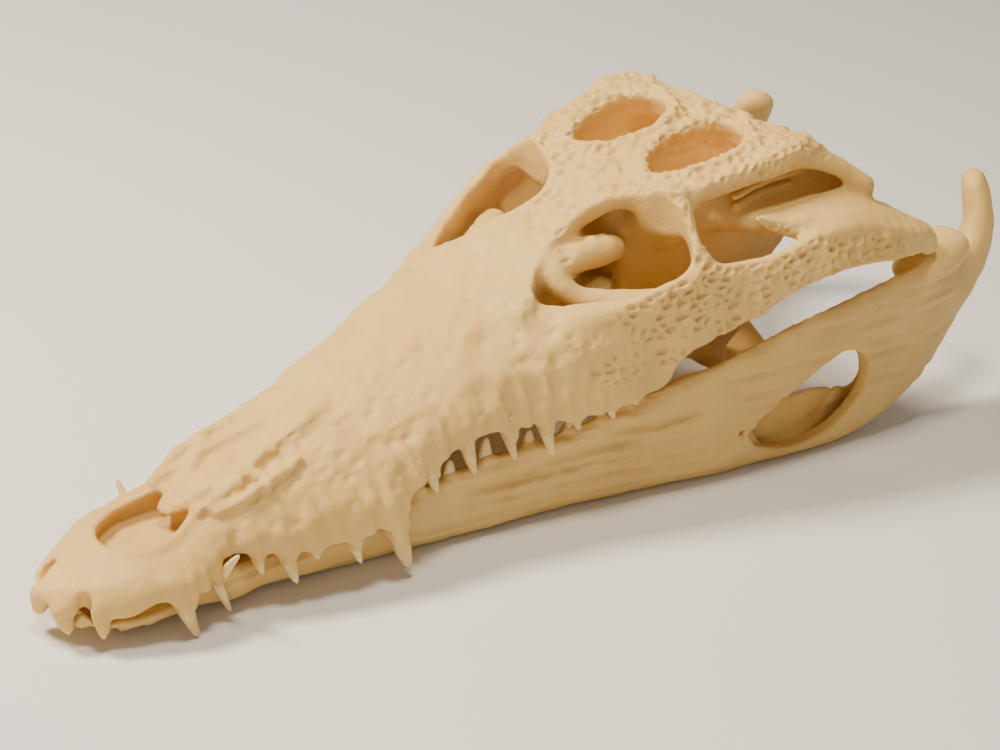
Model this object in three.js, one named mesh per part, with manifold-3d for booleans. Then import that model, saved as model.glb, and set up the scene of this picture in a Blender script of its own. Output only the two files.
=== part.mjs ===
// Crocodile skull with its lower jaw, closed and resting on the underside of the jaw.
//
// Shapes are laid out in the skull's own frame, in percent of the skull's length: X runs back from the
// tip of the snout, +Y is the animal's right, and Z is up from the line of the upper tooth sockets.
// PERCENT turns them into millimetres, and the group then tips the skull back until the straight
// underside of the jaw lies on the ground.

import * as THREE from "three";
import { mergeVertices } from "three/addons/utils/BufferGeometryUtils.js";
import Module from "manifold-3d";

// ---------------------------------------------------------------- driving dimensions
const SKULL_LENGTH = 240; // tip of the snout to the back edge of the skull table, mm
const JAW_SLOPE = Math.atan(0.1686); // how far the jaw's underside falls away from the tooth row, radians
const JAW_UNDERSIDE = -2.28; // height of that underside line below the snout's tip, percent
const SUTURE = 0.35; // gap kept between neighbouring pieces, mm
const BONE_COLOUR = 0xe6cf9c;

const PERCENT = SKULL_LENGTH / 100;
const GAP = SUTURE / PERCENT;
const LEFT = -1;
const RIGHT = 1;

const wasm = await Module();
wasm.setup();

// ---------------------------------------------------------------- small helpers
const vec = (x, y, z) => new THREE.Vector3(x, y, z);
const mirrored = (v, side) => vec(v.x, v.y * side, v.z);

/** Smooth curve through [position, value, value, ...] rows, held level past both ends. */
function profile(rows) {
  const values = rows.flatMap((row) => row.slice(1));
  const width = rows[0].length - 1;
  const positions = rows.map((row) => row[0]);
  const curve = new THREE.CubicInterpolant(positions, values, width, new Array(width));
  return (t) => {
    const held = THREE.MathUtils.clamp(t, positions[0], positions.at(-1));
    return [...curve.evaluate(held)];
  };
}

/** Closed BufferGeometry skinned over rings of equal point count, with a fan over each end. */
function skin(rings) {
  const n = rings[0].length;
  const points = rings.flat();
  const faces = [];
  for (let r = 0; r + 1 < rings.length; r++)
    for (let i = 0; i < n; i++) {
      const a = r * n + i;
      const b = r * n + ((i + 1) % n);
      faces.push(a, b, b + n, a, b + n, a + n);
    }
  const cap = (ring, first, flip) => {
    const middle = ring.reduce((sum, p) => sum.add(p), vec(0, 0, 0)).divideScalar(n);
    const hub = points.push(middle) - 1;
    for (let i = 0; i < n; i++) {
      const edge = [first + ((i + 1) % n), first + i];
      faces.push(hub, ...(flip ? edge.reverse() : edge));
    }
  };
  cap(rings[0], 0, false);
  cap(rings.at(-1), (rings.length - 1) * n, true);
  const geometry = new THREE.BufferGeometry().setFromPoints(points);
  geometry.setIndex(faces);
  return geometry;
}

/** The manifold solid of a closed geometry, with its faces turned outwards. */
function solid(geometry) {
  geometry.deleteAttribute("normal");
  geometry.deleteAttribute("uv");
  const merged = mergeVertices(geometry, 1e-4);
  const position = merged.attributes.position;
  const index = new Uint32Array(merged.index.array);
  const [a, b, c] = [vec(), vec(), vec()];
  let volume = 0;
  for (let i = 0; i < index.length; i += 3) {
    a.fromBufferAttribute(position, index[i]);
    b.fromBufferAttribute(position, index[i + 1]);
    c.fromBufferAttribute(position, index[i + 2]);
    volume += a.dot(b.cross(c));
  }
  if (volume < 0) index.reverse();
  return new wasm.Manifold(new wasm.Mesh({ numProp: 3, vertProperties: position.array, triVerts: index }));
}

const join = (solids) => solids.reduce((all, one) => all.add(one));
const cut = (body, tools) => tools.reduce((left, tool) => left.subtract(tool), body);

/** Ring of a rounded section about centre, with half axes u and v; power 2 is an ellipse, more is boxier. */
function oval(centre, u, v, count = 10, power = 2) {
  const ring = [];
  for (let i = 0; i < count; i++) {
    const angle = ((i + 0.5) / count) * 2 * Math.PI;
    const c = Math.cos(angle);
    const s = Math.sin(angle);
    const along = Math.sign(c) * Math.abs(c) ** (2 / power);
    const across = Math.sign(s) * Math.abs(s) ** (2 / power);
    ring.push(centre.clone().addScaledVector(u, along).addScaledVector(v, across));
  }
  return ring;
}

/** Blade with one edge along `top` and the other along `bottom`, from rows [x, yTop, zTop, yBottom, zBottom, thickness]. */
function blade(rows, side, { steps = 1, count = 8, power = 2.6 } = {}) {
  const at = profile(rows);
  const rings = [];
  for (let r = 0; r + 1 < rows.length; r++)
    for (let k = 0; k < steps; k++) rings.push(THREE.MathUtils.lerp(rows[r][0], rows[r + 1][0], k / steps));
  rings.push(rows.at(-1)[0]);
  return solid(
    skin(
      rings.map((x) => {
        const [yTop, zTop, yBottom, zBottom, thickness] = at(x);
        const centre = vec(x, (side * (yTop + yBottom)) / 2, (zTop + zBottom) / 2);
        const up = vec(0, (side * (yTop - yBottom)) / 2, (zTop - zBottom) / 2);
        const out = vec(0, up.z, -up.y).setLength(thickness / 2);
        return oval(centre, up, out, count, power);
      }),
    ),
  );
}

/** Rounded bar through rows [x, y, z, halfWidth, halfHeight]; the width lies level, across the bar's run. */
function bar(rows, side, { steps = 1, count = 7, power = 2 } = {}) {
  const points = rows.map(([x, y, z]) => vec(x, y * side, z));
  const path = new THREE.CatmullRomCurve3(points, false, "centripetal");
  const size = profile(rows.map((row, i) => [i, row[3], row[4]]));
  const total = (rows.length - 1) * steps;
  const rings = [];
  for (let k = 0; k <= total; k++) {
    const t = k / total;
    const forward = path.getTangent(t);
    const level = vec(-forward.y, forward.x, 0);
    if (level.length() < 0.2) level.set(0, 1, 0);
    level.normalize();
    const up = new THREE.Vector3().crossVectors(forward, level).normalize();
    const [halfWidth, halfHeight] = size(t * (rows.length - 1));
    rings.push(oval(path.getPoint(t), level.multiplyScalar(halfWidth), up.multiplyScalar(halfHeight), count, power));
  }
  return solid(skin(rings));
}

/** Straight shaft along Z from `low` to `high`, with a smooth closed outline through [x, y] corners. */
function shaft(corners, side, low, high, points = 11) {
  const curve = new THREE.SplineCurve([...corners, corners[0]].map(([x, y]) => new THREE.Vector2(x, y * side)));
  const outline = new THREE.Shape(curve.getPoints(points).slice(0, -1));
  const geometry = new THREE.ExtrudeGeometry(outline, { depth: high - low, bevelEnabled: false });
  geometry.translate(0, 0, low);
  return solid(geometry);
}

/** Ball stretched to its half sizes. */
function ball(x, y, z, halfX, halfY, halfZ, round = 10) {
  const geometry = new THREE.SphereGeometry(1, round, Math.ceil(round * 0.7));
  geometry.scale(halfX, halfY, halfZ);
  geometry.translate(x, y, z);
  return solid(geometry);
}

/** Box from one corner to the other. */
function block(low, high) {
  const geometry = new THREE.BoxGeometry(high[0] - low[0], high[1] - low[1], high[2] - low[2]);
  geometry.translate((low[0] + high[0]) / 2, (low[1] + high[1]) / 2, (low[2] + high[2]) / 2);
  return solid(geometry);
}

// ---------------------------------------------------------------- snout
// The snout's sections: [x, half width, top, socket margin, squareness of the arch].
const SNOUT = [
  [0.8, 1.8, 3.2, 1.9, 2],
  [2, 4.2, 3.7, 1.4, 2.1],
  [4, 6.2, 4.1, 1, 2.1],
  [6.8, 7.9, 4.4, 0.7, 2.2],
  [10, 8.8, 4.6, 0.3, 2.3],
  [13.5, 8.3, 4.8, 0.5, 2.3],
  [17, 6.9, 5.4, 1.8, 2.3],
  [20, 7.9, 6.1, 1, 2.3],
  [24, 9.4, 6.6, 0, 2.2],
  [29, 10.7, 7.2, -0.9, 2.1],
  [34.5, 11.4, 8, -1.5, 2.1],
  [39.5, 11.1, 8.8, 1.2, 2.1],
  [44.5, 11.3, 9.7, 2, 2.1],
  [50, 12.4, 10.9, 1.4, 2.15],
  [56, 13.9, 12.3, 0.6, 2.25],
  [61, 15.2, 13.5, 0.4, 2.4],
  [66, 16.2, 14.6, 0.5, 2.6],
];
const snoutAt = profile(SNOUT);
const PALATE_LIFT = 0.4; // the palate's vault above the socket margin
const SOCKET_RIDGE = 2.4; // width of the ridge that holds the teeth

/** Arched roof over a nearly flat palate, with a socket ridge along each side. */
function snoutRing([x, half, top, margin, power]) {
  const arch = 8;
  const ring = [];
  for (let i = 0; i <= arch; i++) {
    const angle = (i / arch) * Math.PI;
    const y = Math.sign(Math.cos(angle)) * half * Math.abs(Math.cos(angle)) ** (2 / power);
    ring.push(vec(x, y, margin + 0.5 + (top - margin - 0.5) * Math.sin(angle) ** (2 / power)));
  }
  const ridge = Math.min(SOCKET_RIDGE, half * 0.45);
  const vault = margin + PALATE_LIFT * Math.min(1, half / 8);
  ring.push(vec(x, -half + ridge * 0.25, margin));
  ring.push(vec(x, -half + ridge, margin + 0.1));
  ring.push(vec(x, 0, vault));
  ring.push(vec(x, half - ridge, margin + 0.1));
  ring.push(vec(x, half - ridge * 0.25, margin));
  return ring;
}

// ---------------------------------------------------------------- roof: brow bridge and skull table
// [x, half width, top, thickness]
const ROOF = [
  [56, 8.6, 12.2, 4],
  [60, 6.8, 13.6, 4],
  [64, 4.7, 14.9, 3.2],
  [68, 4, 15.8, 2.8],
  [72, 3.9, 16.8, 2.6],
  [74.5, 5.8, 17.6, 2.4],
  [77, 9.9, 18.2, 2.4],
  [79.5, 11.7, 18.5, 2.5],
  [84, 12.8, 18.7, 2.7],
  [89, 13.7, 18.8, 2.8],
  [93, 14.2, 18.8, 2.8],
  [96.5, 13.6, 18.5, 2.6],
  [98.4, 11.2, 18.1, 2.2],
];
const BROW_RISE = 0.5; // how far the rims of the roof stand above its middle

function roofRing([x, half, top, thickness]) {
  const ring = [0.94, 0.6, 0, -0.6, -0.94].map((s) => vec(x, half * s, top - BROW_RISE * (1 - s * s)));
  ring.push(vec(x, -half, top - 0.8));
  for (const s of [-0.93, 0, 0.93]) ring.push(vec(x, half * s, top - thickness));
  ring.push(vec(x, half, top - 0.8));
  return ring;
}

// ---------------------------------------------------------------- cheek: bar under the eye and its posts
// blade rows: [x, yTop, zTop, yBottom, zBottom, thickness]
const CHEEK = [
  [56, 9.4, 11.4, 13.2, 0.9, 3],
  [61, 10.6, 11, 14.6, 0.5, 2.8],
  [66, 13.2, 10.8, 15.6, 0.4, 2.5],
  [69.2, 14.4, 11.4, 16.4, 1, 2.4],
  [70.6, 14.9, 11.7, 16.8, 3, 2.4],
  [75, 15.9, 12.1, 17.9, 4.3, 2.3],
  [80, 17.5, 11.4, 19.3, 5.1, 2.3],
  [85, 18.6, 10.9, 20.6, 6.4, 2.2],
  [90, 19.3, 11.5, 21.6, 6.8, 2.2],
  [96, 20.2, 11, 22.6, 6.3, 2.3],
  [101, 21.4, 8.8, 23.4, 5.2, 2.2],
  [105.2, 22.8, 6.3, 23.8, 4.6, 1.5],
];
// bar rows: [x, y, z, half width, half height]
const EYE_POST = [
  [77, 9.4, 17, 2.6, 1.5],
  [76.4, 12.2, 15.4, 1.5, 1.2],
  [75.8, 14.2, 13.6, 1.2, 1.15],
  [75.4, 16, 11.4, 2.2, 1.2],
];
const PALATE_STRUT = [
  [62, 13.9, 2.8, 1.6, 1.5],
  [70, 12.9, 2.9, 1.5, 1.4],
  [76, 11.9, 0.6, 1.6, 1.2],
  [82, 11.6, -3.0, 2.0, 0.9],
];

// ---------------------------------------------------------------- back of the skull
// Half of the braincase's wall, as a thick blade beside the middle.
const BRAIN_CASE = [
  [75.5, 0.9, 16.5, 0.9, 8, 2.2],
  [79, 0.9, 17.2, 0.9, 3.6, 5.2],
  [86, 0.9, 17.2, 0.9, 2, 6.6],
  [93, 0.9, 17.2, 0.9, 2, 8.6],
  [98, 0.9, 17, 0.9, 2.8, 10],
];
const EAR_WING = [
  [95.5, 4, 12.4, 3.2, 4.2],
  [98.4, 11, 13.4, 2.0, 3.0],
  [101.6, 16.8, 11.4, 1.2, 1.5],
];
const SQUAMOSAL = [
  [90, 11.0, 16.8, 2.2, 1.3],
  [96.0, 12.6, 16.4, 1.9, 1.5],
  [102.0, 17.0, 11.6, 0.9, 1.1],
];
const QUADRATE = [
  [86, 6.0, 11.6, 3.2, 2.4],
  [92, 12.0, 11.4, 5.6, 2.0],
  [98, 16.6, 9.8, 5.2, 1.8],
  [103.5, 19.6, 7.2, 4.2, 1.7],
  [108.6, 21.2, 5.1, 3.2, 1.4],
];
// blade rows again: the plate between quadrate and cheek, and the sheet from the cheek's inner side
// down to the wing of the palate
const QUADRATOJUGAL = [
  [85.2, 14.4, 14.4, 15.6, 13.4, 0.9],
  [88.6, 13.2, 13.4, 18.2, 11.2, 1.4],
  [93, 13, 12.8, 19.6, 11, 1.6],
  [99, 15.2, 11.4, 20.8, 9.6, 1.8],
  [104, 18, 8.4, 22, 6.6, 1.6],
];
const PALATE_SHEET = [
  [60, 12.6, 6.5, 13, 2.2, 1.6],
  [66, 13.6, 6, 13, 2.2, 1.4],
  [72, 15.2, 6.4, 12.6, 1.4, 1.3],
  [78, 17, 7.2, 11.9, -1.2, 1.3],
  [82.5, 18.6, 7.6, 11.8, -3.4, 1.2],
];
const CONDYLE = [
  [109.0, 18.4, 4.7, 1.4, 1.4],
  [109.0, 23.6, 4.7, 1.4, 1.4],
];
const NECK_KNOB = [
  [95.5, 0, 7.2, 2.0, 2.0],
  [99.6, 0, 7.1, 2.0, 1.8],
  [101.6, 0, 6.9, 1.1, 1.0],
];

// ---------------------------------------------------------------- palate
// [y, xFront, xBack, z, thickness]: the drooping wing at the back of the palate
const PTERYGOID = [
  [0, 73.5, 93, 1.8, 3.0],
  [4, 74, 92.3, 1.4, 2.2],
  [8, 77.5, 91.4, -1.0, 1.5],
  [13.6, 80.5, 90.6, -5.0, 1.6],
];
const PALATINE = [
  [44, 0, 2.4, 4.2, 1.1],
  [56, 0, 1.4, 3.2, 1.2],
  [70, 0, 1.6, 3.2, 1.2],
  [78, 0, 2.2, 3.8, 1.4],
];

function pterygoidWing() {
  const rows = [...PTERYGOID.toReversed().map(([y, ...rest]) => [-y, ...rest]), ...PTERYGOID.slice(1)];
  return solid(
    skin(
      rows.map(([y, front, back, z, thickness]) => {
        const lift = (front - back) / 14;
        return oval(vec((front + back) / 2, y, z), vec((back - front) / 2, 0, lift), vec(0, 0, thickness / 2), 8, 3);
      }),
    ),
  );
}

// ---------------------------------------------------------------- openings of the upper skull, [x, y] corners
const NOSTRIL = [[8.0, 0], [9.2, 3.0], [12.6, 4.7], [15.6, 3.2], [16.5, 0], [15.6, -3.2], [12.6, -4.7], [9.2, -3.0]];
const NOSTRIL_FLOOR = 2.7;
const ORBIT = [[59.4, 7.6], [61.5, 5.6], [66, 4.2], [71.5, 3.8], [75.2, 6.2], [76.6, 11], [74.6, 15.2], [68, 13.5], [62, 10.2]];
const TEMPLE = [[79.2, 5.2], [82.5, 2.4], [87.5, 1.6], [92.0, 3.4], [93.0, 6.4], [90.0, 8.9], [84.6, 8.6], [80.6, 7.4]];
const PALATE_HOLE = [[49, 5.8], [56, 2.9], [66, 2.7], [74, 3.4], [77.4, 7.6], [76, 11], [68, 12.4], [58, 10.6], [51, 8.6]];
const SPINAL_CANAL = [
  [90, 0, 10.2, 1.3, 1.2],
  [102, 0, 10.2, 1.7, 1.5],
];
const TOOTH_NOTCH = { x: 3.0, y: 1.5, z: 4.4, size: [1.2, 0.5, 0.9] };

// ---------------------------------------------------------------- teeth
// Upper: [x, lean of the tip towards the back, length, radius]
const UPPER_TEETH = [
  [0.7, -0.2, 1.2, 0.6],
  [2.0, -0.9, 2.1, 0.9],
  [4.2, -1.0, 2.4, 0.95],
  [9.4, 0.8, 3.85, 1.15],
  [14.2, 0.6, 3.4, 0.75],
  [20.0, 0.2, 2.2, 0.7],
  [22.8, 0.4, 3.2, 0.85],
  [26.2, 0.2, 2.6, 0.8],
  [29.8, 0.4, 3.2, 0.95],
  [34.8, 0.6, 5.2, 1.3],
  [38.6, 0.2, 2.8, 0.85],
  [44.6, 0.0, 2.6, 0.75],
  [49.4, 0.3, 2.8, 0.8],
  [54.2, 0.3, 2.9, 0.8],
  [58.2, 0.0, 1.9, 0.7],
  [61.6, 0.0, 1.6, 0.65],
  [64.6, 0.0, 1.3, 0.6],
];
const UPPER_INSET = 0.75;
// Lower: [x, lean of the tip towards the back, length, radius, set out from the row]
const LOWER_TEETH = [
  [2.6, -0.3, 2.6, 0.7, 0],
  [5.4, 0.0, 1.5, 0.55, 0],
  [8.2, 0.0, 1.5, 0.55, 0],
  [17.0, -0.5, 2.7, 1.0, 1.6],
  [21.6, 0.0, 1.8, 0.6, 0],
  [25.0, 0.0, 1.8, 0.6, 0],
  [28.4, 0.0, 1.9, 0.6, 0],
  [39.6, 0.0, 2.4, 0.75, 0],
  [42.4, 0.0, 2.8, 0.8, 0],
  [47.2, 0.0, 3.6, 0.9, 0],
  [52.0, 0.0, 2.8, 0.8, 0],
  [57.0, 0.0, 2.4, 0.75, 0],
  [61.2, 0.0, 2.1, 0.7, 0],
  [64.6, 0.0, 1.9, 0.65, 0],
];
const BITE_GAP = 0.5; // kept between a lower tooth and the socket margin above it
const LOWER_INSET = 1.3;
const TOOTH_ROOT = 1.0; // how far a tooth reaches into its socket

/** Tapering tooth from its root to its tip. */
function tooth(base, tip, radius) {
  const reach = tip.clone().sub(base);
  const length = reach.length();
  reach.normalize();
  const along = vec(1, 0, 0).addScaledVector(reach, -reach.x).normalize();
  const across = new THREE.Vector3().crossVectors(reach, along);
  const shape = [
    [-TOOTH_ROOT, 1.0],
    [length, 0.15],
  ];
  const ring = ([up, share]) => {
    const size = radius * share;
    const centre = base.clone().addScaledVector(reach, up);
    return oval(centre, along.clone().multiplyScalar(size), across.clone().multiplyScalar(size), 5);
  };
  return solid(skin(shape.map(ring)));
}

function upperTeeth(side) {
  return UPPER_TEETH.map(([x, lean, length, radius]) => {
    const [half, , margin] = snoutAt(x);
    const base = vec(x, side * (half - UPPER_INSET - 0.25 * radius), margin + 0.2);
    return tooth(base, vec(x + lean, base.y + side * 0.1 * length, margin - length), radius);
  });
}

// ---------------------------------------------------------------- lower jaw
// [x, outer face, top, bottom, width, how far the top leans out, share of the muscle trough]
const JAW = [
  [1.4, 2.4, 0.6, -0.4, 2.4, 0, 0],
  [3, 4.3, 0.4, -1.2, 4.3, 0.1, 0],
  [6.5, 5.9, 0.1, -2.2, 5.9, 0.3, 0],
  [11, 5.9, -0.5, -3.2, 5.9, 0.4, 0],
  [14.5, 6, -0.2, -3.9, 6, 0.5, 0],
  [17.5, 7, 0, -4.6, 4.2, 0.9, 0],
  [21, 6.6, -0.9, -5.2, 3.7, 0.6, 0],
  [28, 7.6, -1.9, -6.7, 3.6, 0.6, 0],
  [34, 8.6, -2.9, -8.05, 3.6, 0.7, 0],
  [39, 9.5, -2, -8.95, 3.7, 0.7, 0],
  [45, 10.5, -1.4, -9.95, 3.8, 0.7, 0],
  [52, 12, -1.3, -11, 3.9, 0.8, 0],
  [60, 13.9, -1.4, -12.3, 4, 1, 0],
  [68, 16, -0.4, -13.7, 4.1, 1.3, 0],
  [76, 18.3, 0.5, -15.1, 4.3, 1.7, 0.1],
  [81, 19.3, 1.2, -16, 4.3, 1.6, 0.9],
  [87, 20.4, 1.7, -17.1, 4.3, 1.5, 1],
  [99, 22, 1.8, -18.3, 4.2, 1.2, 1],
  [104, 22.5, 1.6, -17.8, 4.2, 1, 0.5],
  [108, 22.6, 1.3, -16.9, 4.4, 0.9, 0],
  [113, 22, 0.6, -14.6, 4.3, 0.7, 0],
  [117, 21.2, -1.6, -11.8, 3.8, 0.5, 0],
  [120, 20.4, -3, -8.8, 3, 0.3, 0],
];
const jawAt = profile(JAW);
// Section corners as [share of the width, share of the height]: a rounded bar, and the same bar with
// a trough for the jaw muscle between a tall outer wall and a low inner one.
const JAW_BAR = [
  [0.8, 1.0], [1.0, 0.86], [1.03, 0.5], [0.95, 0.18], [0.6, 0.0], [0.2, 0.02],
  [0.0, 0.45], [0.02, 0.88], [0.2, 0.97], [0.35, 1.0], [0.52, 1.01], [0.66, 1.01],
];
const JAW_TROUGH = [
  [0.8, 1.0], [1.0, 0.86], [1.03, 0.5], [0.95, 0.18], [0.6, 0.0], [0.2, 0.02],
  [0.0, 0.26], [0.03, 0.36], [0.2, 0.34], [0.3, 0.17], [0.52, 0.16], [0.66, 0.9],
];
const RETROARTICULAR = [
  [112, 20.2, -5.5, 2.2, 4],
  [118, 19.6, -5.6, 1.9, 3.4],
  [122.4, 19, -3, 1.6, 2.8],
  [124.4, 18.4, 0.6, 1.3, 2.6],
  [125, 17.9, 4.2, 1.1, 2],
];
const JOINT_SEAT = [
  [105.5, 20.6, 0.2, 3.0, 1.8],
  [109.5, 20.8, 0.7, 3.4, 2.0],
  [114, 20.3, 0.4, 3.0, 2.2],
];
const JOINT_KNOB = { x: 112.6, y: 19.4, z: 0.9, size: [2.4, 1.7, 1.7] };
const JAW_WINDOW = [
  [82, -10.2], [84.2, -8.3], [87.3, -6.4], [90.6, -5.3], [94, -5.5],
  [95.8, -7.9], [95.1, -11.6], [92, -13.4], [87.5, -13.8], [83.6, -12.7],
];
const WINDOW_DEPTH = [17.6, 30];
const REST_SLAB = 8; // thickness of what is planed off the underside where the jaw rests

function jawRing([x, outer, top, bottom, width, lean, trough], side) {
  return JAW_BAR.map(([across, up], i) => {
    const share = THREE.MathUtils.lerp(across, JAW_TROUGH[i][0], trough);
    const height = THREE.MathUtils.lerp(up, JAW_TROUGH[i][1], trough);
    const y = Math.max(outer - width + share * width + lean * (height - 0.5), 0.01);
    return vec(x, side * y, bottom + (top - bottom) * height);
  });
}

function lowerTeeth(side) {
  return LOWER_TEETH.map(([x, lean, length, radius, out]) => {
    const [outer, top, , , tilt] = jawAt(x);
    const base = vec(x, side * (outer + tilt * 0.5 - LOWER_INSET + out), top - 0.4);
    const clear = out > 0 ? Infinity : snoutAt(x)[2] - BITE_GAP;
    return tooth(base, vec(x + lean, base.y + side * 0.4 * out, Math.min(top + length, clear)), radius);
  });
}

/** Opening through the outer wall of the jaw. */
function jawWindow(side) {
  const [from, to] = WINDOW_DEPTH;
  const wall = shaft(JAW_WINDOW, 1, from, to);
  return wall.rotate([90, 0, 0]).scale([1, -side, 1]);
}

/** Slab whose upper face is the ground that the jaw rests on. */
function ground() {
  const slab = new THREE.BoxGeometry(220, 100, REST_SLAB);
  slab.translate(60, 0, -REST_SLAB / 2);
  slab.rotateY(JAW_SLOPE);
  slab.translate(0, 0, JAW_UNDERSIDE);
  return solid(slab);
}

function jawHalf(side) {
  const ramus = solid(skin(JAW.map((row) => jawRing(row, side))));
  const knob = ball(JOINT_KNOB.x, side * JOINT_KNOB.y, JOINT_KNOB.z, ...JOINT_KNOB.size, 6);
  const body = join([ramus, bar(RETROARTICULAR, side), bar(JOINT_SEAT, side, { count: 6 }), knob]);
  return join([cut(body, [jawWindow(side), ground()]), ...lowerTeeth(side)]);
}

// ---------------------------------------------------------------- the whole upper skull
const sides = [LEFT, RIGHT];

function halfSkull(side) {
  return join([
    blade(CHEEK, side, { count: 7 }),
    bar(EYE_POST, side),
    bar(PALATE_STRUT, side, { count: 6 }),
    blade(BRAIN_CASE, side, { count: 6, power: 3 }),
    bar(EAR_WING, side, { count: 6 }),
    bar(SQUAMOSAL, side, { count: 6 }),
    bar(QUADRATE, side, { count: 6, power: 2.6 }),
    bar(CONDYLE, side, { count: 6 }),
    blade(QUADRATOJUGAL, side, { count: 6 }),
    blade(PALATE_SHEET, side, { count: 6 }),
  ]);
}

function upperSkull() {
  const snout = solid(skin(SNOUT.map(snoutRing)));
  const roof = solid(skin(ROOF.map(roofRing)));
  const palate = join([pterygoidWing(), bar(PALATINE, RIGHT, { count: 8, power: 3 })]);
  const hollowSnout = cut(snout, [
    ...sides.map((side) => shaft(ORBIT, side, 2, 30)),
    ...sides.map((side) => shaft(PALATE_HOLE, side, -10, 4.5)),
    shaft(NOSTRIL, RIGHT, NOSTRIL_FLOOR, 30),
    ball(TOOTH_NOTCH.x, TOOTH_NOTCH.y, TOOTH_NOTCH.z, ...TOOTH_NOTCH.size, 6),
  ]);
  const rear = cut(join([roof, ...sides.map(halfSkull)]), [
    ...sides.map((side) => shaft(TEMPLE, side, 13.5, 30)),
    bar(SPINAL_CANAL, RIGHT),
  ]);
  return join([hollowSnout, rear, palate, bar(NECK_KNOB, RIGHT), ...sides.flatMap(upperTeeth)]);
}

// ---------------------------------------------------------------- pieces, parted at the sutures
const SNOUT_BACK = 56.6; // between the snout and the bones behind it
// Seen from above, the cheek is what lies outside this line, between CHEEK_BOTTOM and CHEEK_TOP.
const CHEEK_LINE = [[SNOUT_BACK - 5, 8.0], [60, 8.0], [66, 11.4], [79, 13.0], [95.5, 13.0]];
const CHEEK_TOP = 14.6;
const CHEEK_BOTTOM = -3.4;
const PALATE_TOP = 4.0;
const PALATE_BACK = 94.6;
const FAR = 300;

/** Room of one cheek, larger by `grow` all round. */
function cheekRoom(side, grow) {
  const inner = CHEEK_LINE.map(([x, y]) => new THREE.Vector2(x, side * (y - grow)));
  inner.at(-1).x += grow;
  const outer = [inner.at(-1), inner[0]].map(({ x }) => new THREE.Vector2(x, side * FAR));
  const geometry = new THREE.ExtrudeGeometry(new THREE.Shape([...inner, ...outer]), {
    depth: CHEEK_TOP - CHEEK_BOTTOM + 2 * grow,
    bevelEnabled: false,
  });
  geometry.translate(0, 0, CHEEK_BOTTOM - grow);
  return solid(geometry);
}

function pieces() {
  const g = GAP / 2;
  const skull = upperSkull();
  const palateRoom = (grow) => block([0, -60, -FAR], [PALATE_BACK + grow, 60, PALATE_TOP + grow]);
  const snout = cut(skull, [block([SNOUT_BACK - g, -FAR, -FAR], [FAR, FAR, FAR])]);
  const rear = cut(skull, [block([-FAR, -FAR, -FAR], [SNOUT_BACK + g, FAR, FAR])]);
  const middle = cut(rear, sides.map((side) => cheekRoom(side, g)));
  return {
    snout,
    braincase: cut(middle, [palateRoom(g)]),
    palate: middle.intersect(palateRoom(-g)),
    cheek_left: rear.intersect(cheekRoom(LEFT, -g)),
    cheek_right: rear.intersect(cheekRoom(RIGHT, -g)),
    jaw_left: cut(jawHalf(LEFT), [block([-FAR, -g, -FAR], [FAR, FAR, FAR])]),
    jaw_right: cut(jawHalf(RIGHT), [block([-FAR, -FAR, -FAR], [FAR, g, FAR])]),
  };
}

/** three.js mesh of a manifold solid, in millimetres. */
function meshOf(name, body) {
  const { vertProperties, triVerts } = body.getMesh();
  const geometry = new THREE.BufferGeometry();
  geometry.setAttribute("position", new THREE.BufferAttribute(new Float32Array(vertProperties), 3));
  geometry.setIndex(new THREE.BufferAttribute(new Uint32Array(triVerts), 1));
  geometry.scale(PERCENT, PERCENT, PERCENT);
  const material = new THREE.MeshStandardMaterial({ color: BONE_COLOUR, roughness: 0.6, metalness: 0 });
  const mesh = new THREE.Mesh(geometry, material);
  mesh.name = name;
  return mesh;
}

const tipped = new THREE.Group();
for (const [name, body] of Object.entries(pieces())) tipped.add(meshOf(name, body));
tipped.rotation.y = -JAW_SLOPE;

// Origin on the ground, under the middle of the whole.
const bounds = new THREE.Box3().setFromObject(tipped, true);
const skull = new THREE.Group();
skull.add(tipped);
skull.position.set(-(bounds.min.x + bounds.max.x) / 2, 0, -bounds.min.z);
export default skull;
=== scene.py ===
"""Crocodile skull with its lower jaw: bone, teeth and a plain stage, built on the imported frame.

Shapes are laid out in the skull's own frame, in percent of the skull's length: X runs back from the tip
of the snout, +Y is the animal's right, and Z is up from the line of the upper tooth sockets.
"""

import functools
import math

import bpy
import numpy as np
from mathutils import Matrix, Vector


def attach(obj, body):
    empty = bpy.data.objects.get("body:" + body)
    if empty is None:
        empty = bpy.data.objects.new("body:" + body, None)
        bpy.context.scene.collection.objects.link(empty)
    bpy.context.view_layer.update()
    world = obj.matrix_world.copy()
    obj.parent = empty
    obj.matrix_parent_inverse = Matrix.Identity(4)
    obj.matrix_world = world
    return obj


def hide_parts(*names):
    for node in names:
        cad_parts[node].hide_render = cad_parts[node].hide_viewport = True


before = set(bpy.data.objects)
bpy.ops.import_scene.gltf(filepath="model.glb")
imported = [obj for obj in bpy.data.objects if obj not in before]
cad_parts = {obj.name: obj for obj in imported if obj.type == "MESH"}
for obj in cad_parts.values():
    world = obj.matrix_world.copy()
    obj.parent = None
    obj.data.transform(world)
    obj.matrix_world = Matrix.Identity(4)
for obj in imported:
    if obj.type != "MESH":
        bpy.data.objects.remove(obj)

bl_info = {
    "name": "Crocodile Skull",
    "version": (1, 0, 0),
    "blender": (4, 5, 0),
    "location": "3D View > Sidebar > Skull",
    "description": "Builds a crocodile skull, bone by bone, with its teeth",
    "category": "Add Mesh",
}

# ---------------------------------------------------------------- where the skull lies
JAW_FALL = 0.1686  # fall of the jaw's underside, which lies on the floor, for each step towards the back
JAW_SLOPE = math.atan(JAW_FALL)
JAW_UNDERSIDE = -2.28  # height of that underside below the tip of the snout, percent
PLACE = (-149.6292, 0.0, 5.3958)  # shift of the skull's own frame in the row frame, mm


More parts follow.
